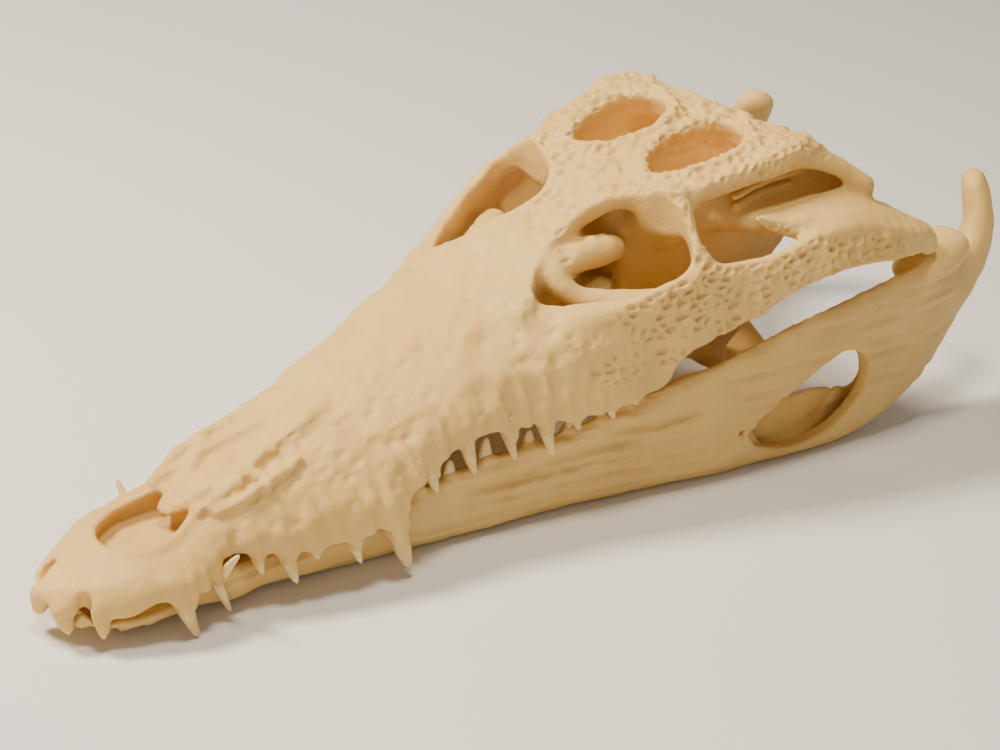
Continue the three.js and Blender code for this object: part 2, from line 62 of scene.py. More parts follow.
def ground_under(x):
    """Height of the floor in the skull's own frame."""
    return JAW_UNDERSIDE - JAW_FALL * x


def turned(directions):
    """Directions of the skull's own frame, in the row frame."""
    c, s = math.cos(JAW_SLOPE), math.sin(JAW_SLOPE)
    x, y, z = np.asarray(directions, float).T
    return np.stack([x * c - z * s, y, x * s + z * c], 1)


def to_row(points, percent):
    """Points of the skull's own frame as metres in the row frame; percent is the length of one, mm."""
    return (turned(points) * percent + np.array(PLACE)) / 1000


# ---------------------------------------------------------------- modelling in soft clay
def blend(a, b, soft):
    """The lower of two distances, run together over a width of soft."""
    h = np.clip(0.5 + 0.5 * (b - a) / soft, 0, 1)
    return b + (a - b) * h - soft * h * (1 - h)


def trim(a, b, soft):
    """The higher of two distances, rounded over a width of soft."""
    return -blend(-a, -b, soft)


def ease(value, low, high):
    """0 below low, 1 above high, and a smooth step between them."""
    t = np.clip((value - low) / (high - low), 0, 1)
    return t * t * (3 - 2 * t)


def past(value, low, high):
    """Distance past the ends of a span, less than nought between them."""
    return np.maximum(low - value, value - high)


class Profile:
    """Smooth curve through rows of [position, value, value, ...], held level past both ends."""

    def __init__(self, rows):
        rows = np.array(rows, float)
        self.at, self.value = rows[:, 0], rows[:, 1:]
        self.slope = np.gradient(self.value, self.at, axis=0)

    def __call__(self, t):
        t = np.clip(t, self.at[0], self.at[-1])
        i = np.clip(np.searchsorted(self.at, t) - 1, 0, len(self.at) - 2)
        h = self.at[i + 1] - self.at[i]
        u = (t - self.at[i]) / h
        rise = ((1 + 2 * u) * (1 - u) ** 2, u * (1 - u) ** 2 * h, u * u * (3 - 2 * u), u * u * (u - 1) * h)
        parts = (self.value[i], self.slope[i], self.value[i + 1], self.slope[i + 1])
        return sum(np.asarray(r)[..., None] * p for r, p in zip(rise, parts))


def smooth_loop(corners, count=5):
    """Closed smooth curve through flat corners."""
    p = np.array(corners, float)
    a, b, c, d = (np.roll(p, k, 0)[:, None] for k in (1, 0, -1, -2))
    t = (np.arange(count) / count)[None, :, None]
    curve = 0.5 * (2 * b + (c - a) * t + (2 * a - 5 * b + 4 * c - d) * t**2 + (3 * b - a - 3 * c + d) * t**3)
    return curve.reshape(-1, p.shape[1])


def smooth_line(rows, count):
    """Open smooth curve through rows of any width."""
    curve = Profile([[i, *row] for i, row in enumerate(rows)])
    return curve(np.linspace(0, len(rows) - 1, (len(rows) - 1) * count + 1))


def outline_distance(corners, u, v):
    """Distance in a plane to a closed outline, less than nought inside it."""
    nearest = np.full(np.broadcast(u, v).shape, 1e6)
    inside = np.zeros(nearest.shape, bool)
    for a, b in zip(corners, np.roll(corners, -1, 0)):
        e, p, q = b - a, u - a[0], v - a[1]
        t = np.clip((p * e[0] + q * e[1]) / max(e @ e, 1e-9), 0, 1)
        nearest = np.minimum(nearest, (p - e[0] * t) ** 2 + (q - e[1] * t) ** 2)
        rise = e[1] if abs(e[1]) > 1e-9 else 1e-9
        inside ^= ((a[1] > v) != (b[1] > v)) & (p < e[0] * q / rise)
    return np.where(inside, -1, 1) * np.sqrt(nearest)


def corner_share(t, corner):
    """Share of one corner of a cell at a place t inside it."""
    x, y, z = (t[a] if corner[a] else 1 - t[a] for a in range(3))
    return x * y * z


class Form:
    """A shape: the box it fills and its distance function."""

    def __init__(self, low, high, distance):
        self.low, self.high, self.distance = low, high, distance


def tube(rows, count=4):
    """Rounded bar through rows of [x, y, z, half width, half height], with its width level."""
    line = smooth_line(rows, count)
    reach = line[:, 3:].max()

    def distance(x, y, z):
        nearest = None
        for a, b in zip(line[:-1], line[1:]):
            run = (b - a)[:3]
            length = np.linalg.norm(run)
            ahead = run / length
            level = np.array([-ahead[1], ahead[0], 0.0])
            if np.linalg.norm(level) > 0.2:
                level = level / np.linalg.norm(level)
            else:
                level = np.array([0, 1.0, 0])
            up = np.cross(ahead, level)
            up /= np.linalg.norm(up)
            px, py, pz = x - a[0], y - a[1], z - a[2]
            t = np.clip((px * ahead[0] + py * ahead[1] + pz * ahead[2]) / length, 0, 1)
            px, py, pz = px - run[0] * t, py - run[1] * t, pz - run[2] * t
            wide, high = a[3] + (b[3] - a[3]) * t, a[4] + (b[4] - a[4]) * t
            end = np.minimum(wide, high)
            e = px * level[0] + py * level[1] + pz * level[2]
            f = px * up[0] + py * up[1] + pz * up[2]
            g = px * ahead[0] + py * ahead[1] + pz * ahead[2]
            k = np.sqrt((e / wide) ** 2 + (f / high) ** 2 + (g / end) ** 2)
            s = np.sqrt((e / wide**2) ** 2 + (f / high**2) ** 2 + (g / end**2) ** 2)
            one = k * (k - 1) / np.maximum(s, 1e-3)
            nearest = one if nearest is None else np.minimum(nearest, one)
        return nearest

    return Form(line[:, :3].min(0) - reach, line[:, :3].max(0) + reach, distance)


def blade(rows):
    """Blade from one edge to the other, in rows of [x, yTop, zTop, yBottom, zBottom, thickness]."""
    at, rows = Profile(rows), np.array(rows, float)

    def distance(x, y, z):
        top_y, top_z, low_y, low_z, thick = (v[..., 0] for v in np.split(at(x), 5, -1))
        half = thick / 2
        ey, ez = low_y - top_y, low_z - top_z
        deep = np.sqrt(ey**2 + ez**2)
        down = ((y - top_y) * ey + (z - top_z) * ez) / deep
        t = np.clip(down, half, np.maximum(deep - half, half)) / deep
        flat = np.sqrt((y - top_y - ey * t) ** 2 + (z - top_z - ez * t) ** 2) - half
        return trim(flat, past(x, rows[0, 0], rows[-1, 0]) + 0 * flat, 0.8)

    ys, zs = rows[:, [1, 3]], rows[:, [2, 4]]
    pad = rows[:, 5].max() / 2
    low = (rows[0, 0], ys.min() - pad, zs.min() - pad)
    high = (rows[-1, 0], ys.max() + pad, zs.max() + pad)
    return Form(low, high, distance)


def loft(rows, ring):
    """Skin over sections across X; ring(values) gives a section's [y, z] corners."""
    at, rows = Profile(rows), np.array(rows, float)
    every = np.concatenate([ring(r[1:]) for r in rows])

    def distance(x, y, z):
        out = np.empty(np.broadcast(x, y, z).shape, np.float32)
        for i, place in enumerate(x[:, 0, 0]):
            out[i] = outline_distance(smooth_loop(ring(at(place)), 3), y[0], z[0])
        return trim(out, past(x, rows[0, 0], rows[-1, 0]) + 0 * out, 1.0)

    low, high = every.min(0), every.max(0)
    return Form((rows[0, 0], *low), (rows[-1, 0], *high), distance)


def shaft(corners, low, high):
    """Straight shaft along Z under a smooth outline of [x, y] corners."""
    loop = smooth_loop(corners)

    def distance(x, y, z):
        plan = outline_distance(loop, x[:, :, 0], y[:, :, 0])[:, :, None]
        return trim(plan + 0 * z, past(z, low, high) + 0 * plan, 0.6)

    return Form((*loop.min(0), low), (*loop.max(0), high), distance)


def side_shaft(corners, low, high):
    """Straight shaft along Y under a smooth outline of [x, z] corners."""
    loop = smooth_loop(corners)

    def distance(x, y, z):
        plan = outline_distance(loop, x[:, 0, :], z[:, 0, :])[:, None, :]
        return trim(plan + 0 * y, past(y, low, high) + 0 * plan, 0.4)

    (x0, z0), (x1, z1) = loop.min(0), loop.max(0)
    return Form((x0, low, z0), (x1, high, z1), distance)


def hem(corners, height, radius):
    """Rounded rim that follows a closed outline of [x, y] corners over a height of the place."""
    loop = smooth_loop(corners)
    level = height(loop[:, 0], loop[:, 1])

    def distance(x, y, z):
        plan = outline_distance(loop, x[:, :, 0], y[:, :, 0])[:, :, None]
        return np.sqrt(plan**2 + (z - height(x, y)) ** 2) - radius

    low = np.array([*loop.min(0), level.min()]) - radius
    high = np.array([*loop.max(0), level.max()]) + radius
    return Form(low, high, distance)


def empty_clay(low, high, step):
    """A box of space with nothing in it yet."""
    axes = [a + step * (np.arange(math.ceil((b - a) / step)) + 0.5) for a, b in zip(low, high)]
    return Clay(step, axes, np.full([len(a) for a in axes], 9.0, np.float32))


class Clay:
    """Distance to the surface over a box of space, in cells of one step."""

    def __init__(self, step, axes, d):
        self.step, self.axes, self.d = step, axes, d

    def room(self, form, pad):
        """The cells round a form, and their places."""
        cut = tuple(
            slice(np.searchsorted(axis, a - pad), np.searchsorted(axis, b + pad))
            for axis, a, b in zip(self.axes, form.low, form.high)
        )
        x, y, z = (axis[c] for axis, c in zip(self.axes, cut))
        return cut, x[:, None, None], y[None, :, None], z[None, None, :]

    def add(self, form, soft):
        """Puts a form on, run together with what is there."""
        cut, x, y, z = self.room(form, soft + 0.8)
        if min(self.d[cut].shape):
            self.d[cut] = blend(self.d[cut], form.distance(x, y, z), soft)

    def carve(self, form, soft):
        """Cuts a form out, with a rounded edge."""
        cut, x, y, z = self.room(form, soft + 0.8)
        if min(self.d[cut].shape):
            self.d[cut] = trim(self.d[cut], -form.distance(x, y, z), soft)

    def mirrored(self):
        """The same with its other half, on the far side of Y = 0."""
        x, y, z = self.axes
        both = np.concatenate([-y[::-1], y])
        return Clay(self.step, [x, both, z], np.concatenate([self.d[:, ::-1], self.d], 1))

    def part(self, region):
        """What lies inside a region, whose distance is less than nought there."""
        return Clay(self.step, self.axes, np.maximum(self.d, region))

    def sample(self, points):
        """Distance at points, read between the cells."""
        where = [(points[:, i] - self.axes[i][0]) / self.step for i in range(3)]
        base = [np.clip(np.floor(w).astype(int), 0, n - 2) for w, n in zip(where, self.d.shape)]
        t = [np.clip(w - b, 0, 1) for w, b in zip(where, base)]
        total = 0
        for i in (0, 1):
            for j in (0, 1):
                for k in (0, 1):
                    total = total + corner_share(t, (i, j, k)) * self.d[base[0] + i, base[1] + j, base[2] + k]
        return total

    def surface(self):
        """Points and four-sided faces of the surface, one point to each cell that it crosses."""
        d = self.d
        inside = d < 0
        size = np.array(d.shape)
        corners = [np.array((i, j, k)) for i in (0, 1) for j in (0, 1) for k in (0, 1)]
        filled = sum(
            inside[tuple(slice(c[a], size[a] - 1 + c[a]) for a in range(3))].astype(np.int8) for c in corners
        )
        cells = np.argwhere((filled > 0) & (filled < 8))
        index = np.full(size - 1, -1, np.int64)
        index[tuple(cells.T)] = np.arange(len(cells))
        total, count = np.zeros((len(cells), 3)), np.zeros(len(cells))
        for a in corners:
            for axis in range(3):
                if a[axis]:
                    continue
                b = a.copy()
                b[axis] = 1
                da, db = d[tuple((cells + a).T)], d[tuple((cells + b).T)]
                crossed = (da < 0) != (db < 0)
                t = da[crossed] / (da[crossed] - db[crossed])
                total[crossed] += a + t[:, None] * (b - a)
                count[crossed] += 1
        points = (cells + total / count[:, None]) * self.step + [axis[0] for axis in self.axes]
        faces = []
        for axis in range(3):
            u, v = (axis + 1) % 3, (axis + 2) % 3
            low, high = (np.take(inside, range(*r), axis) for r in ((0, size[axis] - 1), (1, size[axis])))
            edge = np.argwhere(low != high)
            for side in (u, v):
                edge = edge[(edge[:, side] > 0) & (edge[:, side] < size[side] - 1)]
            around = []
            for du, dv in ((1, 1), (0, 1), (0, 0), (1, 0)):
                near = edge.copy()
                near[:, u] -= du
                near[:, v] -= dv
                around.append(index[tuple(near.T)])
            quad = np.stack(around, 1)
            out = low[tuple(edge.T)]
            quad[~out] = quad[~out][:, ::-1]
            faces.append(quad)
        return points, np.concatenate(faces)


# ---------------------------------------------------------------- roughness of old bone
def scatter(cells, seed):
    """Three random numbers for each whole-numbered cell, the same ones every time."""
    table = np.random.default_rng(seed).random((8192, 3))
    i, j, k = (cells[..., a].astype(np.int64) for a in range(3))
    return table[((i * 73856093) ^ (j * 19349663) ^ (k * 83492791)) & 8191]


def pits(points, seed):
    """Distance to the nearest of the seeds that lie one to a unit cell, and to the next one."""
    base = np.floor(points)
    first, second = np.full(len(points), 9.0), np.full(len(points), 9.0)
    for i in (-1, 0, 1):
        for j in (-1, 0, 1):
            for k in (-1, 0, 1):
                cell = base + (i, j, k)
                gap = np.linalg.norm(cell + scatter(cell, seed) - points, axis=1)
                second = np.minimum(second, np.maximum(first, gap))
                first = np.minimum(first, gap)
    return first, second


def waves(points, seed):
    """Smooth random height from -1 to 1, about one wave to two units."""
    base = np.floor(points)
    t = points - base
    t = t * t * (3 - 2 * t)
    total = 0
    for i in (0, 1):
        for j in (0, 1):
            for k in (0, 1):
                total = total + corner_share(t.T, (i, j, k)) * scatter(base + (i, j, k), seed)[:, 0]
    return total * 2 - 1


# ---------------------------------------------------------------- measured shapes of the upper skull
# [x, half width, top, margin with the tooth sockets, squareness of the arch]
SNOUT = [
    [0.4, 1.3, 3.15, 1.6, 2], [1.0, 2.1, 3.4, 1.3, 2], [2.0, 3.0, 3.6, 1.0, 2.1],
    [3.2, 4.2, 3.85, 1.2, 2.1], [4.6, 5.5, 4.05, 0.4, 2.15], [6.2, 6.4, 4.3, 0.2, 2.2],
    [8.4, 7.2, 4.6, 0.8, 2.2], [10.6, 7.9, 4.7, 0.3, 2.2], [13.5, 8.3, 4.9, 0.1, 2.2],
    [17, 6.9, 5.4, 1.5, 2.3], [20, 8.0, 6.1, 0.7, 2.2], [24, 9.8, 6.6, -0.4, 2.05],
    [29, 11.1, 7.2, -0.9, 1.95], [34.5, 11.8, 8, -1.2, 1.95], [39.5, 11.3, 8.8, 1.2, 2.0],
    [44.5, 11.3, 9.7, 2.3, 2.1], [50, 12.4, 10.9, 2.4, 2.15], [56, 13.9, 12.3, 1.1, 2.25],
    [61, 15.2, 13.5, 0.8, 2.4], [66, 16.2, 14.6, 0.7, 2.6],
]
SNOUT_SPAN = (0.3, 66)
PALATE_LIFT = 0.4
# [x, half width, top, thickness] of the brow bridge and the skull table
ROOF = [
    [56, 8.6, 12.2, 4], [60, 6.8, 13.6, 4], [64, 4.7, 14.9, 3.2], [68, 4, 15.8, 2.8],
    [72, 3.9, 16.8, 2.6], [74.5, 5.8, 17.6, 2.4], [77, 9.9, 18.2, 2.4], [79.5, 11.7, 18.5, 2.5],
    [84, 12.8, 18.7, 2.7], [89, 13.7, 18.8, 2.8], [93, 14.2, 18.8, 2.8], [96.5, 13.6, 18.5, 2.6],
    [98.4, 11.2, 18.1, 2.2],
]
ROOF_SPAN = (56, 98.2)
BROW_RISE = 0.5

# blades of bone: [x, yTop, zTop, yBottom, zBottom, thickness]
CHEEK = [
    [57, 10.4, 8.8, 13.2, 0.9, 2.0], [61, 10.9, 10.3, 14.5, 0.5, 2.6], [66, 13.2, 10.8, 15.6, 0.4, 2.5],
    [69.2, 14.4, 11.4, 16.4, 1, 2.4], [70.6, 14.9, 11.7, 16.8, 3, 2.4], [75, 15.9, 12.1, 17.9, 4.3, 2.3],
    [80, 17.5, 11.4, 19.3, 5.1, 2.3], [85, 18.6, 10.9, 20.6, 6.4, 2.2], [90, 19.3, 11.5, 21.6, 6.8, 2.2],
    [96, 20.2, 11, 22.6, 6.3, 2.3], [101, 21.4, 8.8, 23.4, 5.2, 2.2], [105.2, 22.8, 6.3, 23.8, 4.6, 1.5],
]
# from the cheek's inner side down to the wing of the palate
PALATE_SHEET = [
    [60, 12.6, 6.5, 13.0, 2.2, 1.6], [66, 13.6, 6.0, 13.0, 2.2, 1.4], [72, 15.2, 6.4, 12.6, 1.4, 1.3],
    [78, 17.0, 7.2, 11.9, -1.2, 1.3], [82.5, 18.6, 7.6, 11.8, -3.4, 1.2], [86, 19.6, 8.2, 14.5, 2.5, 1.0],
]
BRAIN_CASE = [
    [75.5, 0.9, 16.5, 0.9, 8.0, 2.2], [79, 0.9, 17.2, 0.9, 3.6, 5.2], [86, 0.9, 17.2, 0.9, 2.0, 6.6],
    [93, 0.9, 17.2, 0.9, 2.4, 8.6], [98.0, 0.9, 17.0, 0.9, 2.8, 10.0],
]
QUADRATOJUGAL = [
    [85.2, 14.4, 14.4, 15.6, 13.4, 0.9], [88.6, 13.2, 13.4, 18.2, 11.2, 1.4], [93, 13, 12.8, 19.6, 11.0, 1.6],
    [99, 15.2, 11.4, 20.8, 9.6, 1.8], [104, 18, 8.4, 22, 6.6, 1.6],
]
# behind the ear, and on the inner side of the muscle chamber
EAR_WALL = [
    [80, 6.0, 16.5, 6.5, 9, 1.8], [84, 7.8, 16.8, 8.4, 10.5, 1.9], [90, 9.2, 16.8, 9.8, 12.0, 1.9],
    [96, 10.8, 16.2, 11.4, 11.2, 1.8], [100, 13.2, 14.0, 14.4, 10.8, 1.5],
]
CHAMBER_WALL = [
    [76, 3.0, 12, 3.0, 1, 1.6], [80, 5.4, 11, 4, 0, 1.6], [86, 8.6, 11, 5, 0, 1.4],
    [92, 10.6, 10.6, 5.6, -0.2, 1.4], [97.6, 12.4, 9.8, 7.0, 0.6, 1.2],
]

# bars of bone: [x, y, z, half width, half height]
EYE_POST = [
    [77.0, 9.4, 17.0, 2.6, 1.5], [76.4, 12.2, 15.4, 1.5, 1.2], [75.8, 14.2, 13.6, 1.2, 1.15],
    [75.4, 16.0, 11.4, 2.2, 1.2],
]
PALATE_STRUT = [
    [62, 13.9, 2.8, 1.6, 1.5], [70, 12.9, 2.9, 1.5, 1.4], [76, 11.9, 0.6, 1.6, 1.2],
    [82, 11.6, -3.0, 2.0, 0.9],
]
PALATINE = [[44, 0, 2.4, 4.2, 1.1], [56, 0, 1.4, 3.2, 1.2], [70, 0, 1.6, 3.2, 1.2], [78, 0, 2.2, 3.8, 1.4]]
# the wall at the back of the eye socket, and the one at the back of the opening in the table
BUTTRESS = [[77.1, 9.6, 14.8, 1.9, 1.8], [78.5, 6.2, 13.3, 2.1, 1.9], [80, 4, 11.5, 2.4, 1.9]]
TEMPLE_BACK = [[94.2, 2.5, 14.0, 1.7, 3.2], [95.0, 7.0, 13.6, 1.7, 3.2], [93.6, 10.4, 13.8, 1.6, 2.8]]
# the curled pillar in the front of the eye socket
PILLAR = [
    [63.6, 4.2, 12.8, 1.3, 1.2], [63.4, 6.2, 11.6, 1.3, 1.4], [65.0, 8.2, 9.8, 1.5, 1.2],
    [69, 10.8, 8.8, 1.6, 1.0], [74, 13.6, 8.2, 1.4, 0.9],
]
PILLAR_LOBE = [
    [64.2, 5.2, 12.6, 1.6, 1.5], [68.3, 4.8, 12.2, 1.9, 1.7], [71.6, 4.8, 11.6, 2.0, 1.7],
    [73.8, 4.4, 10.8, 1.7, 1.5],
]
# the wing behind the ear, the corner of the table, the hollow under its edge, and the ridges in there
EAR_WING = [[95.5, 4, 12.4, 3.2, 4.2], [98.4, 11, 13.4, 2.0, 3.0], [101.6, 16.8, 11.4, 1.2, 1.5]]
SQUAMOSAL = [[90, 11.0, 16.8, 2.2, 1.3], [96.0, 12.6, 16.4, 1.9, 1.5], [102.0, 17.0, 11.6, 0.9, 1.1]]
EAR_CAVE = [
    [83.0, 13.6, 14.6, 1.2, 0.8], [88, 13.2, 14.1, 2.3, 1.3], [94, 13.4, 13.5, 2.6, 1.5],
    [99.2, 14.2, 12.9, 1.6, 1.2],
]
EAR_RIDGES = (
    [[85.5, 11.9, 15.0, 0.45, 0.4], [91, 11.5, 14.6, 0.5, 0.4], [97, 12.0, 13.8, 0.4, 0.35]],
    [[86.5, 11.4, 13.4, 0.4, 0.35], [91.5, 11.0, 13.1, 0.45, 0.35], [95.5, 11.6, 12.7, 0.4, 0.3]],
)
# the thin spine that points forward and up from the bone over the cheek
SPINE = [[90.5, 17.2, 11.8, 1.2, 0.9], [87, 16.4, 12.4, 0.8, 0.6], [84.2, 16.3, 14.4, 0.3, 0.3]]
# the bar that carries the jaw joint, and its end
QUADRATE = [
    [86, 6.0, 11.6, 3.2, 2.4], [92, 12.0, 11.4, 5.6, 2.0], [98, 16.6, 9.8, 5.2, 1.8],
    [103.5, 19.6, 7.2, 4.2, 1.7], [107.8, 20.6, 4.9, 2.6, 1.3],
]
CONDYLE = [[109.0, 18.4, 4.0, 1.3, 1.2], [107.6, 22.2, 3.7, 1.2, 1.1]]
NECK_KNOB = [[95.5, 0, 7.2, 2.0, 2.0], [99.6, 0, 7.1, 2.0, 1.8], [101.6, 0, 6.9, 1.1, 1.0]]
SPINAL_CANAL = [[90, 0, 10.2, 1.3, 1.2], [102, 0, 10.2, 1.7, 1.5]]
# where the first lower teeth fit: an open notch on the left, a slit through the roof on the right
LEFT_NOTCH = [[2.95, -3.6, -1.5, 0.85, 0.9], [2.85, -3.4, 2.9, 0.6, 0.7]]
RIGHT_SLIT = [[2.0, 2.3, 3.2, 0.5, 1.2], [4.0, 2.9, 3.3, 0.5, 1.2]]

# the wing of the palate: [y, xFront, xBack, z, thickness]
WING_REACH = 13.6
PTERYGOID = [
    [0, 73.5, 93, 1.8, 3.0], [4, 74, 92.3, 1.4, 2.2], [8, 77.5, 91.4, -1.0, 1.5],
    [WING_REACH, 80.5, 90.6, -5.0, 1.6],
]

# outlines seen from above: [x, y]
NOSTRIL_HALF = [[8.8, 2.9], [12.0, 4.1], [15.5, 3.4], [17.4, 2.0]]
NOSTRIL = [[7.6, 0], *NOSTRIL_HALF, [16.0, 0], *([x, -y] for x, y in reversed(NOSTRIL_HALF))]
NOSTRIL_FLOOR = 2.7
# the spine and the ridges behind the nostril, as bars
NOSTRIL_SPINE = [[17.6, 0, 5.1, 2.4, 0.5], [16.4, 0, 4.95, 1.8, 0.5], [15.2, 0, 4.7, 1.0, 0.4]]
NASAL_RIDGES = (
    [
        [16.8, 3.6, 5.6, 0.5, 0.4], [21, 3.3, 6.2, 0.6, 0.55], [27, 2.2, 7.0, 0.5, 0.5],
        [35, 1.2, 8.0, 0.4, 0.3],
    ],
    [[17.5, 1.2, 5.5, 0.45, 0.4], [20.5, 2.0, 6.2, 0.5, 0.5], [24, 4.4, 6.3, 0.4, 0.35]],
    [[18, 4.6, 5.3, 0.5, 0.4], [22, 5.6, 5.9, 0.5, 0.5], [28, 5.4, 6.6, 0.4, 0.3]],
)
ORBIT = [
    [59.4, 7.6], [61.5, 5.6], [66, 4.2], [71.5, 3.8], [75.2, 6.2], [76.6, 11], [74.6, 15.2], [68, 13.5],
    [62, 10.2],
]
# the opening in the skull's table, and the line of its rim
TEMPLE = [
    [79.2, 5.2], [82.5, 2.4], [87.5, 1.6], [92.0, 3.4], [93.0, 6.4], [90.0, 8.9], [84.6, 8.6],
    [80.6, 7.4],
]
TEMPLE_RIM = [
    [78.4, 5.2], [81.9, 1.9], [87.5, 0.9], [92.6, 2.8], [93.9, 6.6], [90.4, 9.7], [84.4, 9.4],
    [80.0, 8.0],
]
PALATE_HOLE = [
    [49, 5.8], [56, 2.9], [66, 2.7], [74, 3.4], [77.4, 7.6], [76, 11], [68, 12.4], [58, 10.6], [51, 8.6],
]

# where one bone meets the next: the back of the snout as [y, x], the cheek's inner line as [x, y], the
# heights of the cheek's top and bottom and of the palate's top, and the x of the palate's back end
SNOUT_SEAM = [
    [0, 55.2], [2.2, 58.0], [4.4, 53.0], [6.4, 56.2], [8.6, 50.5], [11.6, 55.5], [14, 52.5], [20, 57],
]
CHEEK_LINE = [[40, 8.0], [60, 8.0], [66, 11.4], [79, 13.0], [95.5, 13.0]]
CHEEK_TOP, CHEEK_BOTTOM, PALATE_TOP, PALATE_BACK = 14.6, -3.4, 4.0, 94.6

TIP_TEETH = 6  # teeth in front of this x have short roots, because the bone is thin there
# [x, lean of the tip towards the back, length, radius]
UPPER_TEETH = [
    [1.5, 0.0, 2.2, 0.7], [3.9, -0.2, 2.5, 0.75], [11.0, 0.8, 4.5, 0.9],
    [15.2, 0.9, 4.7, 0.65], [20.2, 0.1, 2.4, 0.7], [22.8, 0.5, 3.6, 0.85], [25.6, 0.1, 1.2, 0.6],
    [29.6, 0.4, 3.1, 0.65], [34.8, 0.6, 6.0, 1.3], [40.4, 0.3, 2.7, 0.75], [45.4, 0.3, 3.9, 0.8],
    [50.2, 0.3, 3.8, 0.8], [54.6, 0.3, 4.0, 0.85], [58.1, 0.3, 1.8, 0.7], [62.3, 0.3, 1.9, 0.65],
    [65.4, 0.2, 1.3, 0.6],
]
UPPER_INSET = 0.55  # how far inside the margin the row stands

# ---------------------------------------------------------------- measured shapes of the lower jaw
# [x, lean of the tip towards the back, length, radius, set out from the row]
LOWER_TEETH = [
    [3.1, -0.1, 3.0, 0.5, 0], [6.4, 0.0, 1.2, 0.5, 0], [8.8, 0.0, 1.2, 0.5, 0], [16.2, 0.4, 3.4, 0.6, 2.1],
    [21.6, 0.0, 1.8, 0.6, 0], [25.0, 0.0, 1.8, 0.6, 0], [28.4, 0.0, 1.9, 0.6, 0], [40.2, 0.1, 2.2, 0.7, 0],
    [44.0, 0.2, 1.8, 0.75, 0], [48.3, 0.3, 2.6, 0.85, 0], [53.4, 0.3, 1.6, 0.75, 0], [58.2, 0.2, 1.3, 0.7, 0],
    [62.2, 0.2, 1.4, 0.65, 0], [65.5, 0.2, 1.3, 0.6, 0],
]
LOWER_INSET = 1.3
BITE_GAP = 0.5  # between a lower tooth and the palate
# [x, outer face, top, bottom, width, how far the top leans out, share of the muscle trough]
JAW = [
    [1.6, 1.6, 0.3, -0.2, 1.6, 0, 0], [3, 3.2, 0.0, -0.6, 3.2, 0.1, 0],
    [6.5, 5.1, -0.6, -1.8, 5.1, 0.3, 0], [11, 5.8, -0.8, -3.0, 5.8, 0.4, 0],
    [14.5, 6, -0.2, -3.9, 6, 0.5, 0], [17.5, 7, 0, -4.6, 4.2, 0.9, 0], [21, 6.6, -0.9, -5.2, 3.7, 0.6, 0],
    [28, 7.6, -1.9, -6.7, 3.6, 0.6, 0], [34, 8.6, -2.9, -8.05, 3.6, 0.7, 0],
    [39, 9.5, -2, -8.95, 3.7, 0.7, 0], [45, 10.5, -1.4, -9.95, 3.8, 0.7, 0],
    [52, 12, -1.3, -11, 3.9, 0.8, 0], [60, 13.9, -1.4, -12.3, 4, 1, 0],
    [68, 16, -0.4, -13.7, 4.1, 1.3, 0], [76, 18.3, 0.5, -15.1, 4.3, 1.7, 0.1],
    [81, 19.3, 1.2, -16, 4.3, 1.6, 0.9], [87, 20.4, 1.7, -17.1, 4.3, 1.5, 1],
    [93, 21.3, 1.8, -18.1, 4.3, 1.4, 1], [99, 22, 1.8, -18.3, 4.2, 1.2, 1],
    [104, 22.5, 1.6, -17.8, 4.2, 1, 0.5], [108, 22.6, 1.3, -16.9, 4.4, 0.9, 0],
    [113, 22, 0.6, -14.6, 4.3, 0.7, 0], [117, 21.2, -1.6, -11.8, 3.8, 0.5, 0],
    [120, 20.4, -3, -8.8, 3, 0.3, 0],
]
# Section corners as [share of the width, share of the height]: a rounded bar, and the same bar with
# a trough for the jaw muscle between a tall outer wall and a low inner one.
JAW_OUTSIDE = [[0.8, 1.0], [1.0, 0.86], [1.03, 0.5], [0.95, 0.18], [0.6, 0.0], [0.2, 0.02]]
JAW_BAR = [*JAW_OUTSIDE, [0.0, 0.45], [0.04, 0.78], [0.2, 0.86], [0.36, 0.91], [0.52, 0.96], [0.66, 1.0]]
JAW_TROUGH = [*JAW_OUTSIDE, [0.0, 0.26], [0.03, 0.36], [0.2, 0.34], [0.3, 0.17], [0.52, 0.16], [0.66, 0.9]]
# the blade behind the joint and its edges, as bars
RETROARTICULAR = [
    [112, 20.2, -5.5, 2.2, 4], [118, 19.6, -5.6, 1.9, 3.4], [121.4, 19.2, -3.8, 1.6, 2.8],
    [123.2, 18.8, -1, 1.4, 2.0],
]
RETRO_EDGES = (
    [
        [120.5, 19.6, -4.6, 1.5, 2.0], [122.6, 19.1, -1.6, 1.4, 1.6], [123.2, 18.4, 1.3, 1.4, 1.4],
        [123.6, 17.6, 3.0, 1.2, 1.2],
    ],
    [
        [121.2, 18.9, -4.4, 1.5, 2.0], [123.7, 18.3, -1.4, 1.4, 1.6], [124.3, 17.5, 1.7, 1.5, 1.5],
        [124.5, 16.7, 3.6, 1.3, 1.3],
    ],
    [
        [121.5, 18.6, -4.4, 1.5, 2.0], [124.4, 17.7, -1.4, 1.4, 1.6], [125.2, 16.8, 1.3, 1.4, 1.4],
        [125.4, 16.0, 2.9, 1.2, 1.2],
    ],
)
# the seat of the joint and the knob behind it
JOINT_SEAT = [[107.2, 20.6, -0.2, 2.7, 1.6], [109.5, 20.8, 0.7, 3.4, 2.0], [114, 20.3, 0.4, 3.0, 2.2]]
KNOB = [[110.5, 18.6, 1.2, 1.6, 1.7], [113.5, 19.8, 0.6, 1.4, 1.6]]
